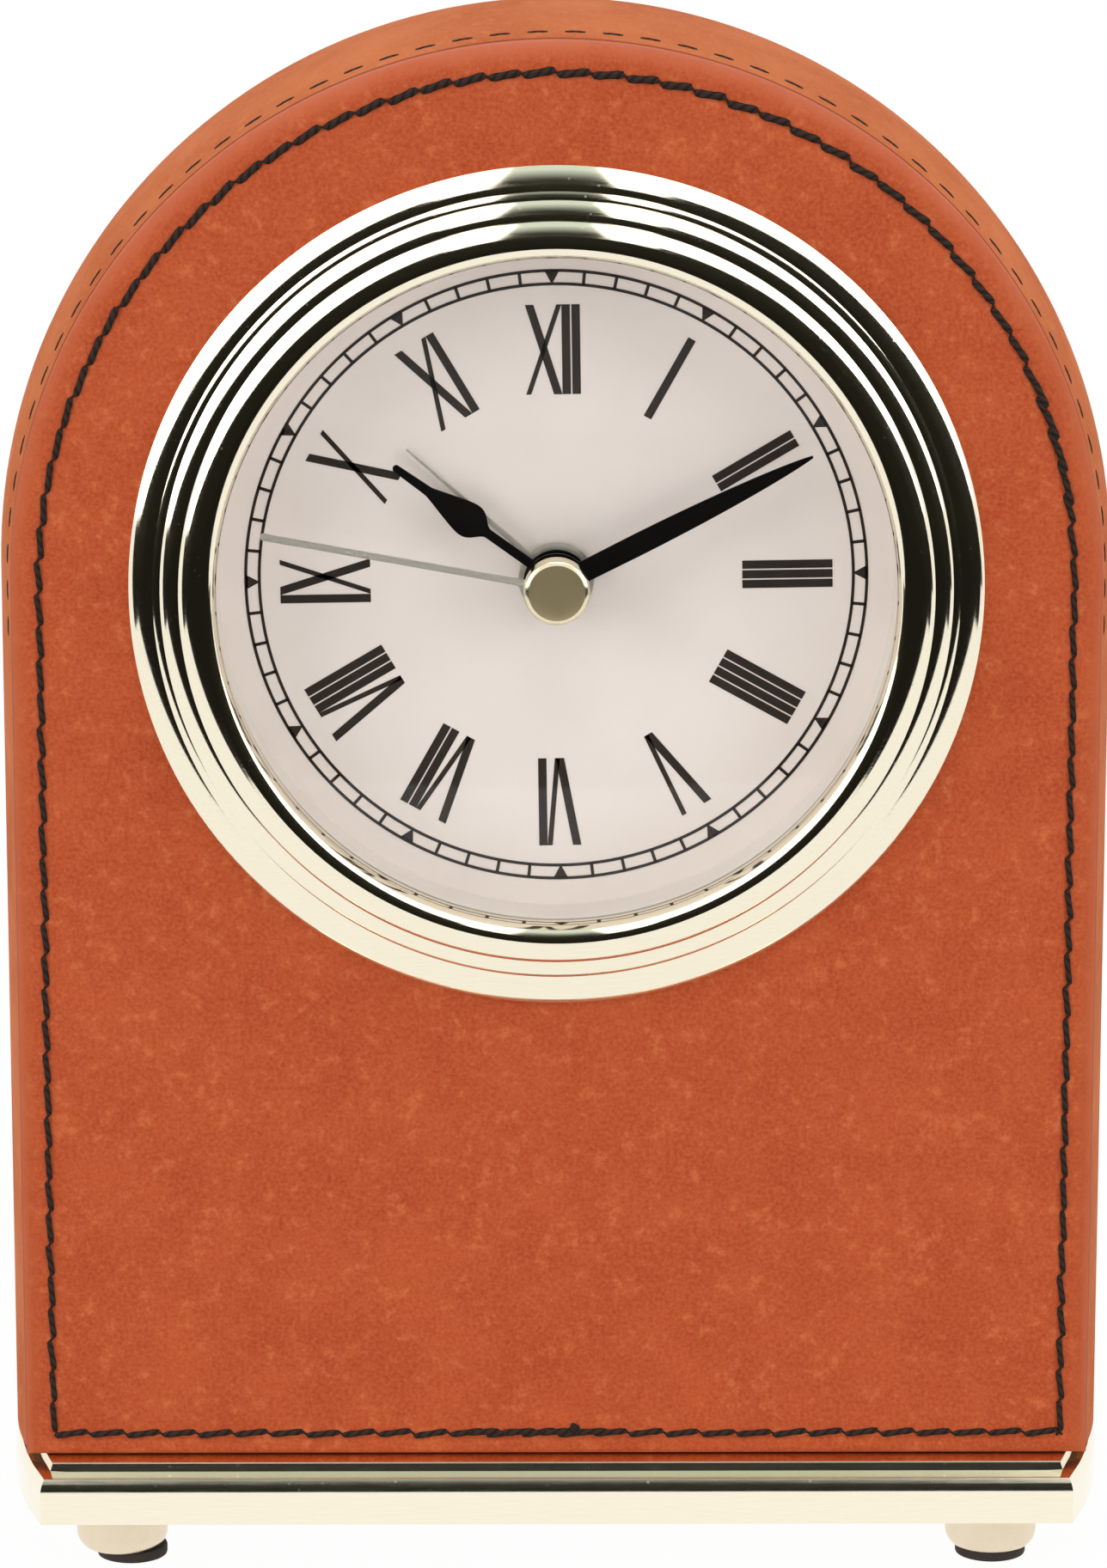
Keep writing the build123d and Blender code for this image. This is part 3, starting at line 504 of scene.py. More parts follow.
def makeCell(s):  # dark jacket between steel ends
    finish, tree, shader = newMaterial("cellJacket", Roughness=s["rough"])
    along = calc(tree, "ABSOLUTE", calc(tree, "SUBTRACT", objectParts(tree)[0], s["middle"]))
    bare = calc(tree, "GREATER_THAN", along, s["half"])
    feed(tree, shader, {"Base Color": blend(tree, bare, s["jacket"], s["ends"]), "Metallic": bare})
    return finish


def makeThread(s):  # twisted yarn, stripes across each stitch from its own map: painted highlights on the ply crests and painted shade between them
    finish, tree, shader = newMaterial("thread", Specular_IOR_Level=0.15)
    u, v = splitUp(tree, addNode(tree, "ShaderNodeTexCoord").outputs["UV"])[:2]
    slant = calc(tree, "ADD", times(tree, u, s["across"]), times(tree, v, s["along"]))
    ply = calc(tree, "ABSOLUTE", calc(tree, "SINE", times(tree, slant, math.pi)))
    fuzz = noise(tree, objectSpot(tree), *s["fuzz"])
    # painted highlight on each ply's crest, painted shade in the grooves between
    plyShading = times(tree, ply, spread(tree, fuzz, *s["fuzzRange"], *s["plyShadingShare"]))
    gloss = spread(tree, fuzz, *s["fuzzRange"], *s["rough"])
    feed(tree, shader, {"Base Color": blend(tree, plyShading, s["dark"], s["light"]), "Roughness": gloss})
    bumpFrom(tree, shader, ply, *s["bump"])
    return finish


def makeCapFace(s):  # turned face with fine rings
    finish, tree, shader = newMaterial("capFace", Metallic=1.0)
    x, _, z = objectParts(tree)
    reach = reachOf(tree, x, calc(tree, "SUBTRACT", z, dialZ))
    given = {"W": times(tree, reach, s["ringsPerMm"]), "Scale": 1.0, "Detail": s["detail"]}
    rings = addNode(tree, "ShaderNodeTexNoise", given, noise_dimensions="1D").outputs[0]
    gloss = spread(tree, rings, *s["ringRange"], *s["rough"])
    feed(tree, shader, {"Base Color": blend(tree, rings, s["dark"], s["light"]), "Roughness": gloss})
    bumpFrom(tree, shader, rings, *s["bump"])
    return finish


def mixShaders(tree, factor, first, second):
    return addNode(tree, "ShaderNodeMixShader", {0: factor, 1: first.outputs[0], 2: second.outputs[0]})


def showSurface(tree, node):
    feed(tree, tree.nodes["Material Output"], {"Surface": node.outputs[0]})


def makeGlass(s):  # clear lens, open to lamp light
    finish, tree, shader = newMaterial("clearGlass", Base_Color=s["tone"], Transmission_Weight=1.0, IOR=1.25,
                                       Specular_IOR_Level=0.15)
    smudge = noise(tree, objectSpot(tree), *s["smudge"])
    feed(tree, shader, {"Roughness": spread(tree, smudge, *s["smudgeRange"])})
    rays = addNode(tree, "ShaderNodeLightPath").outputs
    passing = calc(tree, "MAXIMUM", rays["Is Shadow Ray"], rays["Is Diffuse Ray"])
    showSurface(tree, mixShaders(tree, passing, shader, addNode(tree, "ShaderNodeBsdfTransparent")))
    return finish


cellJacket = makeCell(cellSettings)
thread = makeThread(threadSettings)
capFace = makeCapFace(capFaceSettings)
clearGlass = makeGlass(glassSettings)
print("finishes ready")

# front panel: a covered board with a rolled edge and a sewn-in line, cut by shares of its width and dip
panelSettings = {
    "roll": 1.6, "rollSteps": 7, "arcSteps": 112, "hole": 36.5, "holeDepth": 20.0, "holeSteps": 128,
    "sewnInset": 2.85, "sewnWidth": 0.42, "sewnDip": 0.14, "sewnCut": [(0.6, 0.7), (0.4, 0.3)], "rim": 0.3,
    "bottomZone": 4.5, "bottomShare": 0.7, "smooth": 40,
}


def archOutline(steps):  # the panel's outline at its back
    turns = [math.pi * (1 - i / steps) for i in range(steps + 1)]
    arch = [(panelRadius * math.cos(a), panelBack, dialZ + panelRadius * math.sin(a)) for a in turns]
    return [(-panelRadius, panelBack, baseTop)] + arch + [(panelRadius, panelBack, baseTop)]


def buildPanel(s):
    board = fillOutline("frontPanel", archOutline(s["arcSteps"]))
    pushOut(board, (0, frontY + s["roll"] - panelBack, 0))
    steps = quarterRound(s["roll"], s["rollSteps"])
    steps.append((s["sewnInset"] - s["sewnWidth"] - s["roll"], 0))
    steps += [(s["sewnWidth"] * wide, -s["sewnDip"] * deep) for wide, deep in s["sewnCut"]]
    steps += [(s["sewnWidth"] * wide, s["sewnDip"] * deep) for wide, deep in reversed(s["sewnCut"])]
    stepIn(board, (0, -1, 0), steps + [(s["rim"], 0)])
    lowEdge = (0, 0, baseTop * mm)
    resizePart(board, lambda p: p.z < baseTop + s["bottomZone"], (1, 1, s["bottomShare"]), lowEdge)
    cutBore(board, s["hole"], frontY, s["holeDepth"], s["holeSteps"])
    smooth(board, s["smooth"])
    fit(board, "case", frontLeather, "front_leather", "front_leather")


buildPanel(panelSettings)

# band: leather round the bowed sides and top
bandSettings = {
    "leather": 0.9, "edgeRound": 0.45, "roundSteps": 4, "arcSteps": 96, "bowSteps": 20, "near": 0.01,
    "smooth": 50,
}


def bandRadius(y):  # the bowed surface at a depth
    half = (rearY - panelBack) / 2
    middle = (rearY + panelBack) / 2
    circle = (half * half + bandBow * bandBow) / (2 * bandBow)
    return panelRadius + bandBow - circle + math.sqrt(circle * circle - (y - middle) ** 2)


def extrudeEdges(z):
    bpy.ops.mesh.extrude_edges_move(TRANSFORM_OT_translate={"value": (0, 0, z * mm)})


def buildBand(s):
    front, back, r = panelBack, rearY, s["edgeRound"]
    turns = quarterTurns(s["roundSteps"])
    depths = [front + r + (back - front - 2 * r) * i / s["bowSteps"] for i in range(1, s["bowSteps"])]
    profile = [(bandRadius(front + r) - r + r * math.sin(a), front + r - r * math.cos(a)) for a in turns]
    profile += [(bandRadius(y), y) for y in depths]
    profile += [(bandRadius(back - r) - r + r * math.cos(a), back - r + r * math.sin(a)) for a in turns]
    profile += [(bandRadius(y) - s["leather"], y) for y in (back, 0, front)]
    ring = [(-radius, y, baseTop) for radius, y in profile]
    band = drawChain("band", ring + [ring[0]])
    closeSeams(band)
    editAll(band)
    extrudeEdges(dialZ - baseTop)
    bpy.ops.mesh.spin(steps=s["arcSteps"], angle=-math.pi, center=(0, 0, dialZ * mm), axis=(0, 1, 0))
    extrudeEdges(baseTop - dialZ)
    toMode("OBJECT")
    for side in (-1, 1):  # closes the two lower ends
        pick(band, "VERT", lambda p: p.z < baseTop + s["near"] and p.x * side > 0)
        bpy.ops.mesh.edge_face_add()
        toMode("OBJECT")
    closeSeams(band)
    smooth(band, s["smooth"])
    fit(band, "case", bandLeather, "band_leather", "band_leather")


buildBand(bandSettings)
print("leather panel and band done")

# bezel: three beads, a thin ridge and a rounded lip, turned in one piece
bezelSettings = {
    "beads": [  # outer radius and rise, inner radius and rise, crown over the chord, steps
        (40.0, 0.6, 37.75, 1.6, 0.2, 12), (37.74, 1.85, 37.02, 2.1, 0.04, 6),
        (37.0, 2.35, 35.25, 3.1, 0.17, 10), (35.23, 3.58, 33.5, 4.4, 0.17, 12),
        (33.5, 4.4, 32.0, 3.9, 0.23, 12),
    ],
    "lipBore": 31.75, "lipBevel": 0.8, "seat": 1.3, "lensBore": 33.3, "tail": 1.5, "insert": 36.2,
    "turns": 176, "smooth": 32,
}


def buildBezel(s):
    line = [(s["beads"][0][0], frontY)]
    for outer, outerRise, inner, innerRise, crown, count in s["beads"]:
        alongX, alongY = inner - outer, outerRise - innerRise
        length = math.hypot(alongX, alongY)
        x = (outer + inner) / 2 - alongY / length * crown
        y = frontY - (outerRise + innerRise) / 2 + alongX / length * crown
        line += arc((outer, frontY - outerRise), (x, y), (inner, frontY - innerRise), count)
    lip, lens, insert = s["lipBore"], s["lensBore"], s["insert"]
    seat, tail = frontY - s["seat"], frontY + s["tail"]
    line += [(lip, line[-1][1] + s["lipBevel"]), (lip, seat), (lens, seat), (lens, tail)]
    line += [(insert, tail), (insert, frontY), line[0]]
    bezel = spinDial("bezelRing", line, s["turns"])
    smooth(bezel, s["smooth"])
    fit(bezel, "case", gold, "polished_gold", "bezel")


buildBezel(bezelSettings)

# lens: a shallow clear dome behind the lip
lensSettings = {
    "seat": -17.8, "dome": 2.2, "depth": 1.1, "radius": 33.2, "domeRadius": 31.55, "steps": 18, "turns": 128,
    "smooth": 30,
}


def domeLine(s, y):  # from the middle to the rim
    rim = s["domeRadius"]
    return arc((-rim, y), (0, y - s["dome"]), (rim, y), 2 * s["steps"])[s["steps"]:]


def buildLens(s):
    back = s["seat"] + s["depth"]
    line = domeLine(s, s["seat"]) + [(s["radius"], s["seat"]), (s["radius"], back)] + domeLine(s, back)[::-1]
    lens = spinDial("clearLens", line, s["turns"])
    smooth(lens, s["smooth"])
    fit(lens, "case", clearGlass, "clear_glass", "lens")


buildLens(lensSettings)
print("bezel and lens done")

# base plate: straight front, bowed ends, a step on a bullnose
baseSettings = {
    "corner": 49.5, "bow": 3.6, "depth": 43.0, "endSteps": 28, "cornerTrim": 3,
    "lead": (0.0005, 0.02), "arcTall": 1.44, "arcFrom": 88.0, "arcTo": 54.0, "arcSteps": 14, "dish": 0.13,
    "slabRim": (0.02, 0), "stepInset": 3.1, "stepEndInset": 1.7, "stepSink": 0.3, "stepSlant": 0.28,
    "slantParts": (0.02, 0.96, 0.02), "stepRound": 0.1, "roundSteps": 6, "stepRim": (0.03, 0), "smooth": 14,
}


def baseOutline(s, z, inset, endInset):
    half, trim = s["depth"] / 2, s["cornerTrim"]
    reach = (half * half + s["bow"] * s["bow"]) / (2 * s["bow"]) - endInset
    crown, y = s["corner"] + s["bow"] - endInset, half - inset
    end = crown - reach + math.sqrt(reach * reach - y * y)
    right = arc((end, -y), (crown, 0), (end, y), s["endSteps"])
    right = [right[0]] + right[trim:-trim] + [right[-1]]  # room for the insets at the corners
    return [(x, y, z) for x, y in right] + [(-x, -y, z) for x, y in right]


def buildBase(s):
    straight = slabTop - s["arcTall"]
    base = fillOutline("baseSlab", baseOutline(s, baseLow, 0, 0))
    pushOut(base, (0, 0, straight - baseLow))
    swing, count = s["arcTo"] - s["arcFrom"], s["arcSteps"]
    turns = [math.radians(s["arcFrom"] + swing * i / count) for i in range(count + 1)]
    radius = s["arcTall"] / (math.cos(turns[-1]) - math.cos(turns[0]))
    steps = [s["lead"]] + arcSteps(radius, turns)
    steps.append((s["stepInset"] - radius * (math.sin(turns[0]) - math.sin(turns[-1])), -s["dish"]))
    rise = straight + sum(step[1] for step in steps)
    stepIn(base, (0, 0, 1), steps + [s["slabRim"]])
    step = fillOutline("baseStep", baseOutline(s, rise - s["stepSink"], s["stepInset"], s["stepEndInset"]))
    pushOut(step, (0, 0, s["stepSink"]))
    tall = baseTop - rise - s["stepRound"]
    steps = [(s["stepSlant"] * part, tall * part) for part in s["slantParts"]]
    stepIn(step, (0, 0, 1), steps + quarterRound(s["stepRound"], s["roundSteps"]) + [s["stepRim"]])
    base = joinPieces("basePlate", [base, step])
    smooth(base, s["smooth"])
    fit(base, "case", baseGold, "polished_gold", "base_plate")


buildBase(baseSettings)

# feet: four barrels with a glued pad, its edge as (inwards, up)
footSettings = {
    "places": {"front_left": (-42.1, -14.2), "front_right": (42.1, -14.2),
               "rear_left": (-42.1, 14.2), "rear_right": (42.1, 14.2)},
    "low": 1.0, "high": 5.4, "radius": 4.4, "end": 3.6, "straight": 2.9, "edge": 0.15, "bore": 2.35,
    "bowlSteps": 14, "turns": 64, "smooth": 35, "padRadius": 3.4, "padSlip": {"front_left": 0.95},
    "padEdge": [(0.2, 0.0), (0.05, 0.06), (0.0, 0.2), (0.0, 0.8), (0.06, 0.95), (0.2, 1.0)],
    "padTurns": 48, "padSmooth": 40,
}


def spinFoot(name, line, count, degrees):
    piece = spinUp(name, [(x, 0, z) for x, z in line], (0, 0, 0), (0, 0, 1), count)
    smooth(piece, degrees)
    return piece


def buildFeet(s):
    low, high, radius, bore, edge = s["low"], s["high"], s["radius"], s["bore"], s["edge"]
    shoulder = high - s["straight"]
    drop, step = shoulder - low, radius - s["end"]
    bend = (drop * drop + step * step) / (2 * step)  # radius of the bowl
    half = math.asin(drop / bend) / 2
    middle = (radius - bend + bend * math.cos(half), shoulder - bend * math.sin(half))
    bowl = arc((s["end"], low), middle, (radius, shoulder), s["bowlSteps"])
    line = [(bore, low), (s["end"] - edge, low)] + bowl[1:]
    line += [(radius, high - edge), (radius - edge, high), (bore, high), (bore, low)]
    barrel = spinFoot("footBarrel", line, s["turns"], s["smooth"])
    line = [(0, 0)] + [(s["padRadius"] - inwards, z) for inwards, z in s["padEdge"]] + [(0, low)]
    pad = spinFoot("footPad", line, s["padTurns"], s["padSmooth"])
    for place, (x, y) in s["places"].items():
        foot = copyPiece(barrel, "footBarrel_" + place, shift(x, y, 0))
        fit(foot, "case", footGold, "polished_gold", "foot_" + place)
        glued = copyPiece(pad, "footPad_" + place, shift(x + s["padSlip"].get(place, 0), y, 0))
        fit(glued, "case", padRubber, "foot_rubber", "foot_pad_" + place)
    bpy.data.objects.remove(barrel)
    bpy.data.objects.remove(pad)


buildFeet(footSettings)
print("base and feet done")

# sewing: one stitch and one link, copied along the border, lengths of a stitch's stretches as shares
yarn = {"segments": 8, "rings": 9, "body": 0.44, "longer": 1.1, "swell": (0.22, 0.49), "wider": 1.3}
stitchSettings = {
    "length": 3.0, "width": 0.74, "thick": 0.56, "dive": 0.16, "sideX": 48.44, "bottomZ": 12.9,
    "pitch": 3.2, "bottomPitch": 3.42, "tilt": 7.0, "sink": 0.02, "sideWide": 0.72, "bottomWide": 0.85,
    "sway": 0.06, "wobble": 0.04, "stretch": (0.98, 1.04), "seed": 4,
    "linkLength": 1.0, "linkWidth": 0.26, "linkTilt": -38.0, "linkSink": 0.1,
    "doubled": (-11.0, 2.6), "doubledRight": (104.0, 116.0), "rightX": 40, "doubleAlong": 0.45,
    "doubleAcross": 0.12, "doubleTilt": 0.4, "doubleLift": 0.08, "knot": (1.7, 0.5, 62.0, 0.32, 1.15),
}


def buildStitch(s, length, width):
    low, high = [share * length for share in yarn["swell"]]
    clearSelection()
    bpy.ops.mesh.primitive_uv_sphere_add(segments=yarn["segments"], ring_count=yarn["rings"], radius=0.5 * mm,
                                         rotation=(0, math.pi / 2, 0))
    stitch = bpy.context.object
    settle()
    editAll(stitch)
    bpy.ops.transform.resize(value=(length, s["thick"], width))
    toMode("OBJECT")
    resizePart(stitch, lambda p: abs(p.x) < length * yarn["body"], (yarn["longer"], 1.0, 1.0))
    resizePart(stitch, lambda p: low < abs(p.x) < high, (1.0, 1.0, yarn["wider"]))
    pick(stitch, "VERT", lambda p: abs(p.x) > length * yarn["body"])  # the ends dive into the leather
    bpy.ops.transform.translate(value=(0, s["dive"] * mm, 0))
    toMode("OBJECT")
    bpy.ops.object.shade_smooth()
    return stitch


def archWalk(radius, side, pitch):  # up, over the arch and down: turn, drop below the arch, pitch
    total = 2 * side + math.pi * radius
    count = round(total / pitch)
    for i in range(count):
        d = (i + 0.5) * total / count
        turn = math.pi - min(max((d - side) / radius, 0), math.pi)
        yield turn, max(side - d, 0) + max(d - side - math.pi * radius, 0), total / count


def borderPath(s):  # sides and arch, then the bottom from left to right: x, z, turn, pitch
    x, low, spots = s["sideX"], s["bottomZ"], []
    for turn, drop, pitch in archWalk(x, dialZ - low, s["pitch"]):
        z = dialZ - drop + x * math.sin(turn)
        spots.append((x * math.cos(turn), z, turn - math.pi / 2, pitch))
    count = round(2 * x / s["bottomPitch"])
    for i in range(count):
        spots.append((-x + (i + 0.5) * 2 * x / count, low, 0.0, 2 * x / count))
    return spots


def layStitch(stitch, x, y, z, turn, stretch=1.0, wide=1.0):
    place = shift(x, y, z) @ Matrix.Rotation(-turn, 4, "Y")
    place = place @ Matrix.Scale(stretch, 4, (1, 0, 0)) @ Matrix.Scale(wide, 4, (0, 0, 1))
    return copyPiece(stitch, "sewn", place)


def buildSewing(s):
    chance = random.Random(s["seed"])
    stitch = buildStitch(s, s["length"], s["width"])
    link = buildStitch(s, s["linkLength"], s["linkWidth"])
    lean, y, laid = math.radians(s["tilt"]), frontY + s["sink"], []
    for x, z, turn, pitch in borderPath(s):
        spot = Vector((x, 0, z))
        along = Vector((math.cos(turn), 0, math.sin(turn)))
        across = Vector((-along.z, 0, along.x))
        wide = s["bottomWide"]
        if turn:
            wide = s["sideWide"] + (1 - s["sideWide"]) * max(z - dialZ, 0) / s["sideX"]
        sewn = spot + across * chance.uniform(-s["sway"], s["sway"])
        angle = turn + lean + chance.uniform(-s["wobble"], s["wobble"])
        stretch = pitch / s["length"] * chance.uniform(*s["stretch"])
        laid.append(layStitch(stitch, sewn.x, y, sewn.z, angle, stretch, wide))
        end = spot + along * pitch / 2
        laid.append(layStitch(link, end.x, y + s["linkSink"], end.z, turn + math.radians(s["linkTilt"])))
        onBottom = turn == 0.0 and s["doubled"][0] < x < s["doubled"][1]
        onRight = x > s["rightX"] and s["doubledRight"][0] < z < s["doubledRight"][1]
        if onBottom or onRight:  # sewn over a second time
            over = spot + along * pitch * s["doubleAlong"] + across * s["doubleAcross"]
            angle = turn + lean * s["doubleTilt"]
            stretch = pitch / s["length"]
            laid.append(layStitch(stitch, over.x, y - s["doubleLift"], over.z, angle, stretch, wide))
    x, rise, turn, stretch, wide = s["knot"]  # the thread's end stands up from the bottom row
    z, turn = s["bottomZ"] + rise, math.radians(turn)
    laid.append(layStitch(stitch, x, y - s["doubleLift"], z, turn, stretch, wide))
    fit(joinPieces("panelSewing", laid), "case", thread, "front_leather")
    bpy.data.objects.remove(stitch)
    bpy.data.objects.remove(link)


buildSewing(stitchSettings)

# slits along the band where the border's thread passes behind
slitSettings = {
    "length": 2.2, "width": 0.56, "thick": 0.34, "dive": 0.16, "y": -11.8, "pitch": 3.5, "sideRun": 5.0,
    "sink": 0.08, "lowGap": 2.5,
}


def buildSlits(s):
    stitch, laid = buildStitch(s, s["length"], s["width"]), []
    radius = bandRadius(s["y"]) - s["sink"]
    side = dialZ - baseTop - s["lowGap"]
    for turn, drop, _ in archWalk(radius, side, s["pitch"]):
        if drop <= s["sideRun"]:
            place = shift(0, 0, dialZ - drop) @ Matrix.Rotation(math.pi / 2 - turn, 4, "Y")
            place = place @ shift(0, s["y"], radius) @ Matrix.Rotation(-math.pi / 2, 4, "X")
            laid.append(copyPiece(stitch, "slit", place))
    fit(joinPieces("bandSlits", laid), "case", thread, "band_leather")
    bpy.data.objects.remove(stitch)


buildSlits(slitSettings)
print("sewing done")

# dial print: radial numerals, minute track and hour marks
printSettings = {
    "gapToDial": 0.004, "height": 0.03, "inner": 17.5, "outer": 26.0, "bar": 0.79, "gap": 0.14, "thin": 0.47,
    "fiveWide": 3.2, "fiveFoot": 0.6, "tenWide": 3.4, "trackOuter": 29.23, "trackInner": 27.96,
    "trackLine": 0.29, "trackSteps": 180, "tick": 0.3, "markWide": 1.42, "markDrop": 0.05, "turned": -0.85,
    "hours": ["XII", "I", "II", "III", "IIII", "V", "VI", "VII", "VIII", "IX", "X", "XI"],
}


def letterStrokes(s, letter, u):  # strokes as (upper place, lower place, width), and the letter's end
    bar, thin = s["bar"], s["thin"]
    if letter == "I":
        return [(u, u, bar)], u + bar
    if letter == "V":
        end, foot = u + s["fiveWide"], u + s["fiveWide"] * s["fiveFoot"]
        return [(u, foot - bar / 2, bar), (end - thin, foot, thin)], end
    end = u + s["tenWide"]
    return [(u, end - bar, bar), (end - thin, u, thin)], end


def barCorners(top, foot, wide, low, high):
    return [(top, high), (foot, low), (foot + wide, low), (top + wide, high)]


def onDial(name, flat, turn, y):  # a flat shape of (across, outwards) pairs, turned to its place on the dial
    points = []
    for u, v in flat:
        x = u * math.cos(turn) + v * math.sin(turn)
        points.append((x, y, dialZ - u * math.sin(turn) + v * math.cos(turn)))
    return fillOutline(name, points)


def buildPrint(s):
    y, shapes = dialFront - s["gapToDial"], []
    for hour, letters in enumerate(s["hours"]):
        u, strokes, last = 0.0, [], ""
        for letter in letters:
            if letter == last == "I":
                u += s["gap"]
            more, u = letterStrokes(s, letter, u)
            strokes += more
            last = letter
        for top, foot, wide in strokes:
            corners = barCorners(top - u / 2, foot - u / 2, wide, s["inner"], s["outer"])
            shapes.append(onDial("ink", corners, hour * math.pi / 6, y))
    inner, outer = s["trackInner"], s["trackOuter"]
    tick, mark = s["tick"] / 2, s["markWide"] / 2
    for minute in range(60):
        corners = barCorners(-tick, -tick, s["tick"], inner, outer)
        if minute % 5 == 0:
            corners = [(0, inner - s["markDrop"]), (mark, outer), (-mark, outer)]
        shapes.append(onDial("ink", corners, minute * math.pi / 30, y))
    for radius in (outer, inner):
        line = [(radius - s["trackLine"] / 2, y), (radius + s["trackLine"] / 2, y)]
        shapes.append(spinDial("ink", line, s["trackSteps"]))
    ink = joinPieces("dialInk", shapes)
    editAll(ink)
    extrude((0, -s["height"] * mm, 0))
    bpy.ops.mesh.select_all(action="SELECT")
    bpy.ops.mesh.normals_make_consistent(inside=False)
    toMode("OBJECT")
    middle = shift(0, 0, dialZ)
    ink.data.transform(middle @ Matrix.Rotation(math.radians(s["turned"]), 4, "Y") @ middle.inverted())
    fit(ink, "case", dialPrint, "dial_paint")


buildPrint(printSettings)
print("dial print done")

# cap over the hands' centre: a turned button with a bright rim, its edges as (inwards, along the axis)
capSettings = {
    "radius": 3.1, "face": 2.62, "front": -18.5, "back": -16.5, "dish": 0.05, "dishShare": 0.6,
    "faceEdge": [(0.08, 0.02), (-0.02, 0.0)], "rimEdge": [(0.2, 0.1), (0.06, 0.22), (0.0, 0.4)],
    "backEdge": [(0.0, 0.15), (0.1, 0.0)], "turns": 72, "smooth": 32,
}


def buildCap(s):
    front, back, radius = s["front"], s["back"], s["radius"]
    line = [(0, front + s["dish"]), (s["face"] * s["dishShare"], front + s["dish"])]
    line += [(s["face"] - inwards, front + deep) for inwards, deep in s["faceEdge"]]
    line += [(radius - inwards, front + deep) for inwards, deep in s["rimEdge"]]
    line += [(radius - inwards, back - deep) for inwards, deep in s["backEdge"]]
    cap = spinDial("handCap", line + [(0, back)], s["turns"])
    smooth(cap, s["smooth"])
    fit(cap, "seconds", capRim, "cap_metal", "second_hand_cap")
    cap.data.materials.append(capFace)
    for face in cap.data.polygons:
        reach = math.hypot(face.center.x / mm, face.center.z / mm - dialZ)
        face.material_index = int(face.normal.y < -facing and reach < s["face"])


buildCap(capSettings)

# hands: flat blades on round hubs, each side a line of (half width, distance from the centre)
hourSettings = {
    "node": "hour_hand", "body": "hours", "slot": "hand_black", "finish": blackPaint, "lift": 2.0,
    "hub": 3.1, "bore": 1.5, "angle": 305.9, "stem": (0.435, 7.9), "stemFrom": 0.2, "stemPull": (0.06, 0.7),
    "pear": (1.655, 10.1), "pearPull": (1.2, 0.9), "neck": (0.46, 14.75), "neckPull": (0.49, 1.85),
    "tip": 0.34, "length": 18.84,
}
minuteSettings = {
    "node": "minute_hand", "body": "minutes", "slot": "hand_black", "finish": blackPaint, "lift": 3.5,
    "hub": 3.05, "bore": 0.95, "angle": 62.9, "root": 1.01, "rootAt": 3.1, "leaf": 1.045, "leafAt": 8.0,
    "fall": 0.7, "sharpEnd": 27.2, "length": 26.85, "sideSteps": 24,
}
secondSettings = {
    "node": "second_hand", "body": "seconds", "slot": "hand_silver", "finish": silver, "lift": 5.05,
    "hub": 1.4, "bore": 0.4, "angle": 280.3, "root": 0.31, "rootAt": 1.5, "tip": 0.34, "length": 28.1,
}
blade = {"depth": 0.25, "hubSteps": 48, "curveSteps": 10, "boreDepth": 4.0, "boreSteps": 48}


def curve(*knots):  # points of a cubic curve after its start
    return [tuple(p) for p in interpolate_bezier(*knots, blade["curveSteps"] + 1)[1:]]


def roundTip(half, length):
    turns = quarterTurns(blade["curveSteps"])[:-1]
    return [(half * math.cos(a), length - half + half * math.sin(a)) for a in turns]


def hourLine(s):
    stem, pear, neck = s["stem"], s["pear"], s["neck"]
    leave = (stem[0] + s["stemPull"][0], stem[1] + s["stemPull"][1])
    arrive = (neck[0] + s["neckPull"][0], neck[1] - s["neckPull"][1])
    line = [(stem[0], s["hub"] + s["stemFrom"]), stem]
    line += curve(stem, leave, (pear[0], pear[1] - s["pearPull"][0]), pear)
    line += curve(pear, (pear[0], pear[1] + s["pearPull"][1]), arrive, neck)
    return line + roundTip(s["tip"], s["length"])


def minuteLine(s):
    line = [(s["root"], s["rootAt"])]
    for i in range(s["sideSteps"] + 1):
        out = s["leafAt"] + (s["length"] - s["leafAt"]) * i / s["sideSteps"]
        share = (out - s["leafAt"]) / (s["sharpEnd"] - s["leafAt"])
        line.append((s["leaf"] * (1 - share * share) ** s["fall"], out))
    return line


def secondLine(s):
    return [(s["root"], s["rootAt"])] + roundTip(s["tip"], s["length"])


def buildHand(name, s, line):
    hub, count = s["hub"], blade["hubSteps"]
    root = math.asin(line[0][0] / hub)
    turns = [root + (2 * math.pi - 2 * root) * i / count for i in range(count + 1)]
    flat = [(hub * math.sin(a), hub * math.cos(a)) for a in turns]
    flat += [(-half, out) for half, out in line] + [(half, out) for half, out in reversed(line)]
    y = dialFront - s["lift"]
    hand = onDial(name, flat, math.radians(s["angle"]), y)
    pushOut(hand, (0, -blade["depth"], 0))
    cutBore(hand, s["bore"], y, blade["boreDepth"], blade["boreSteps"])
    fit(hand, s["body"], s["finish"], s["slot"], s["node"])


buildHand("hourHand", hourSettings, hourLine(hourSettings))
buildHand("minuteHand", minuteSettings, minuteLine(minuteSettings))
buildHand("secondHand", secondSettings, secondLine(secondSettings))
print("hands done")

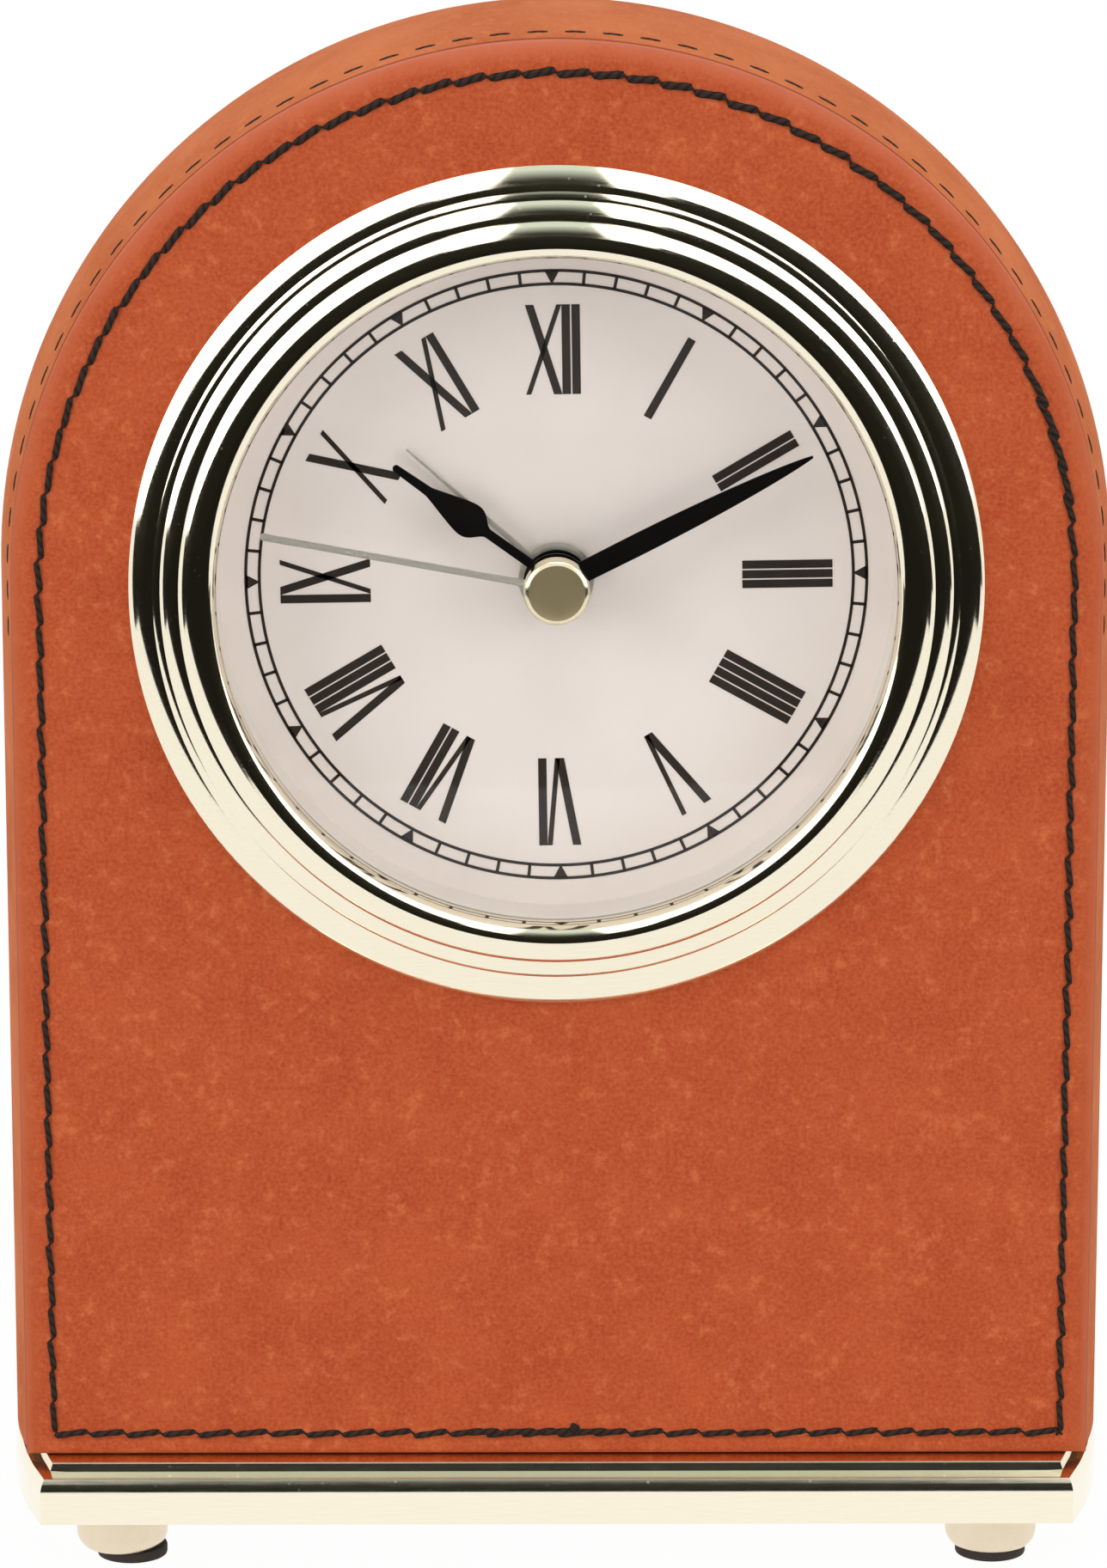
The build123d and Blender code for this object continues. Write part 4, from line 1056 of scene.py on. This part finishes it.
# finishes of the CAD pieces that stay as they are
nodeFinish = [
    (dialPaint, "dial"), (ringPlastic, "dial_ring"), (silver, "alarm_hand"), (fibreBoard, "case_shell"),
    (backLeather, "back_panel"), (copper, "coil"), (magnet, "rotor"), (circuitGreen, "circuit_board"),
    (sounder, "buzzer"), (cellJacket, "battery"),
    (blackPlastic, "insert_cup movement_housing movement_cover time_set_knob alarm_set_knob"),
    (whitePlastic, "plate_spacers train_plate alarm_switch intermediate_wheel second_wheel third_wheel"),
    (whitePlastic, "centre_wheel motion_wheel hour_wheel alarm_wheel"),
    (steel, "insert_clips insert_screws base_screws foot_screws cover_screws stator quartz_crystal"),
    (steel, "battery_contacts"),
]
for finish, names in nodeFinish:
    for name in names.split():
        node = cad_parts[name]
        node.data.materials.clear()
        node.data.materials.append(finish)
print("finishes set on the other nodes")

# stage: pale floor, soft lamps and cards that only the metal sees, all in metres
stageSettings = {
    "floorSize": 4.0, "floorTone": (0.9, 0.9, 0.9, 1.0), "farTone": (0.012, 0.011, 0.009, 1.0),
    "fade": (0.08, 0.2), "clean": 0.97, "mirrorClean": 1.0, "worldLight": 0.42,
    "tableSide": 0.33, "tableFront": -0.2, "tableBack": -0.02, "tableLean": 0.27,
}
lamps = {  # the strip card stands above the top lamp, so mirrors don't show that lamp
    "topLamp": {"place": (0.1, -0.12, 0.95), "size": 0.9, "power": 4.1, "mirrored": False},
    "leftLamp": {"place": (-1.0, -0.5, 0.45), "size": 0.8, "power": 5.4},
    "rightLamp": {"place": (1.0, -0.55, 0.5), "size": 0.8, "power": 4.5},
}
lampAim = (0, 0, 0.07)
white = (1.0, 1.0, 1.0, 1.0)
shade = (0.014, 0.013, 0.009, 1.0)
cards = {  # corners and tone
    "frontCard": ([(x, -0.62, z) for x, z in (
        (-0.5, 0), (0.5, 0), (0.5, 0.5), (0.454, 0.52), (0.16, 0.48), (0.11, 0.36), (-0.11, 0.36),
        (-0.16, 0.44), (-0.24, 0.39), (-0.394, 0.286), (-0.5, 0.25))], shade),
    "leftCard": ([(-0.5, y, z) for y, z in (
        (-0.62, 0), (-0.15, 0), (-0.331, 0.126), (-0.62, 0.25))], shade),
    "rightCard": ([(0.5, y, z) for y, z in (
        (-0.62, 0), (-0.1, 0), (-0.178, 0.114), (-0.34, 0.305), (-0.62, 0.5))], shade),
    "stripCard": ([(-0.45, -5.2, 1.7), (0.45, -5.2, 1.7), (0.195, -0.6, 1.7), (0.195, 0.25, 1.7),
                   (-0.195, 0.25, 1.7), (-0.195, -0.6, 1.7)], (0.72, 0.82, 0.78, 1.0)),
    "skyCard": ([(-6, -7, 1.8), (6, -7, 1.8), (6, 3, 1.8), (-6, 3, 1.8)], (1.7, 1.7, 1.7, 1.0)),
}
stripFade = {"front": -2.6, "back": -0.8, "curve": 2.0, "tone": (0.03, 0.03, 0.022, 1.0)}


def buildFloor(s):  # white to the eye and in the mirrors, which see it dark beyond the table
    clearSelection()
    bpy.ops.mesh.primitive_plane_add(size=s["floorSize"], location=(0, 0, 0))
    floor = bpy.context.object
    floor.name = "floor"
    paint, tree, shader = newMaterial("floorPaint", Base_Color=s["floorTone"], Roughness=0.9,
                                      Specular_IOR_Level=0.0)
    x, y = splitUp(tree, objectSpot(tree))[:2]
    rays = addNode(tree, "ShaderNodeLightPath").outputs
    pale = addNode(tree, "ShaderNodeEmission", {"Color": white, "Strength": 1.0})
    dark = addNode(tree, "ShaderNodeEmission", {"Color": s["farTone"], "Strength": 1.0})
    clean = times(tree, spread(tree, reachOf(tree, x, y), *s["fade"], s["clean"], 1.0), rays["Is Camera Ray"])
    clean = calc(tree, "ADD", clean, times(tree, rays["Is Glossy Ray"], s["mirrorClean"]))
    aside = calc(tree, "ABSOLUTE", x)
    outside = calc(tree, "GREATER_THAN", aside, s["tableSide"])
    outside = calc(tree, "MAXIMUM", outside, calc(tree, "LESS_THAN", y, s["tableFront"]))
    depth = calc(tree, "ADD", y, times(tree, aside, s["tableLean"]))
    beyond = times(tree, outside, calc(tree, "LESS_THAN", depth, s["tableBack"]))
    plain = mixShaders(tree, clean, shader, pale)
    showSurface(tree, mixShaders(tree, times(tree, beyond, rays["Is Glossy Ray"]), plain, dark))
    floor.data.materials.append(paint)
    return floor


def buildCard(name, corners, colour):
    card = fillOutline(name, [Vector(corner) / mm for corner in corners])
    paint, tree, shader = newMaterial(name + "Paint", Base_Color=(0, 0, 0, 1), Roughness=1.0,
                                      Specular_IOR_Level=0.0, Emission_Color=colour, Emission_Strength=1.0)
    if name == "stripCard":
        depth = splitUp(tree, objectSpot(tree))[1]
        fade = spread(tree, depth, stripFade["front"], stripFade["back"])
        fade = calc(tree, "POWER", fade, stripFade["curve"])
        feed(tree, shader, {"Emission Color": blend(tree, fade, stripFade["tone"], colour)})
    card.data.materials.append(paint)
    card.visible_camera = card.visible_diffuse = card.visible_shadow = card.visible_transmission = False
    return card


def buildStage(s):
    buildFloor(s)
    [buildCard(name, *card) for name, card in cards.items()]
    for name, lamp in lamps.items():
        bpy.ops.object.light_add(type="AREA", location=lamp["place"])
        light = bpy.context.object
        light.name = name
        light.rotation_euler = (Vector(lampAim) - Vector(lamp["place"])).to_track_quat("-Z", "Y").to_euler()
        light.data.size = lamp["size"]
        light.data.energy = lamp["power"]
        light.visible_glossy = lamp.get("mirrored", True)
    world = bpy.data.worlds.new("studio")
    bpy.context.scene.world = world
    world.use_nodes = True
    tree = world.node_tree
    rays = addNode(tree, "ShaderNodeLightPath").outputs
    shown = calc(tree, "MAXIMUM", rays["Is Glossy Ray"], rays["Is Transmission Ray"])
    shown = calc(tree, "MAXIMUM", rays["Is Camera Ray"], shown)
    light = spread(tree, shown, 0.0, 1.0, s["worldLight"], 1.0)
    feed(tree, tree.nodes["Background"], {"Color": white, "Strength": light})


buildStage(stageSettings)

# camera at the photograph's place, in mm
cameraSettings = {
    "place": (-3.71, -647.19, 231.27), "tilt": 13.72, "turn": -0.31, "lens": 158.26, "sensor": 36, "clip": 20,
}


def buildCamera(s):
    clearSelection()
    turns = (math.radians(90 - s["tilt"]), 0, math.radians(s["turn"]))
    bpy.ops.object.camera_add(location=Vector(s["place"]) * mm, rotation=turns)
    camera = bpy.context.object
    camera.data.lens = s["lens"]
    camera.data.sensor_width = s["sensor"]
    camera.data.clip_start = s["clip"] * mm
    bpy.context.scene.camera = camera
    bpy.context.scene.view_settings.view_transform = "Standard"


buildCamera(cameraSettings)

print("scene done")
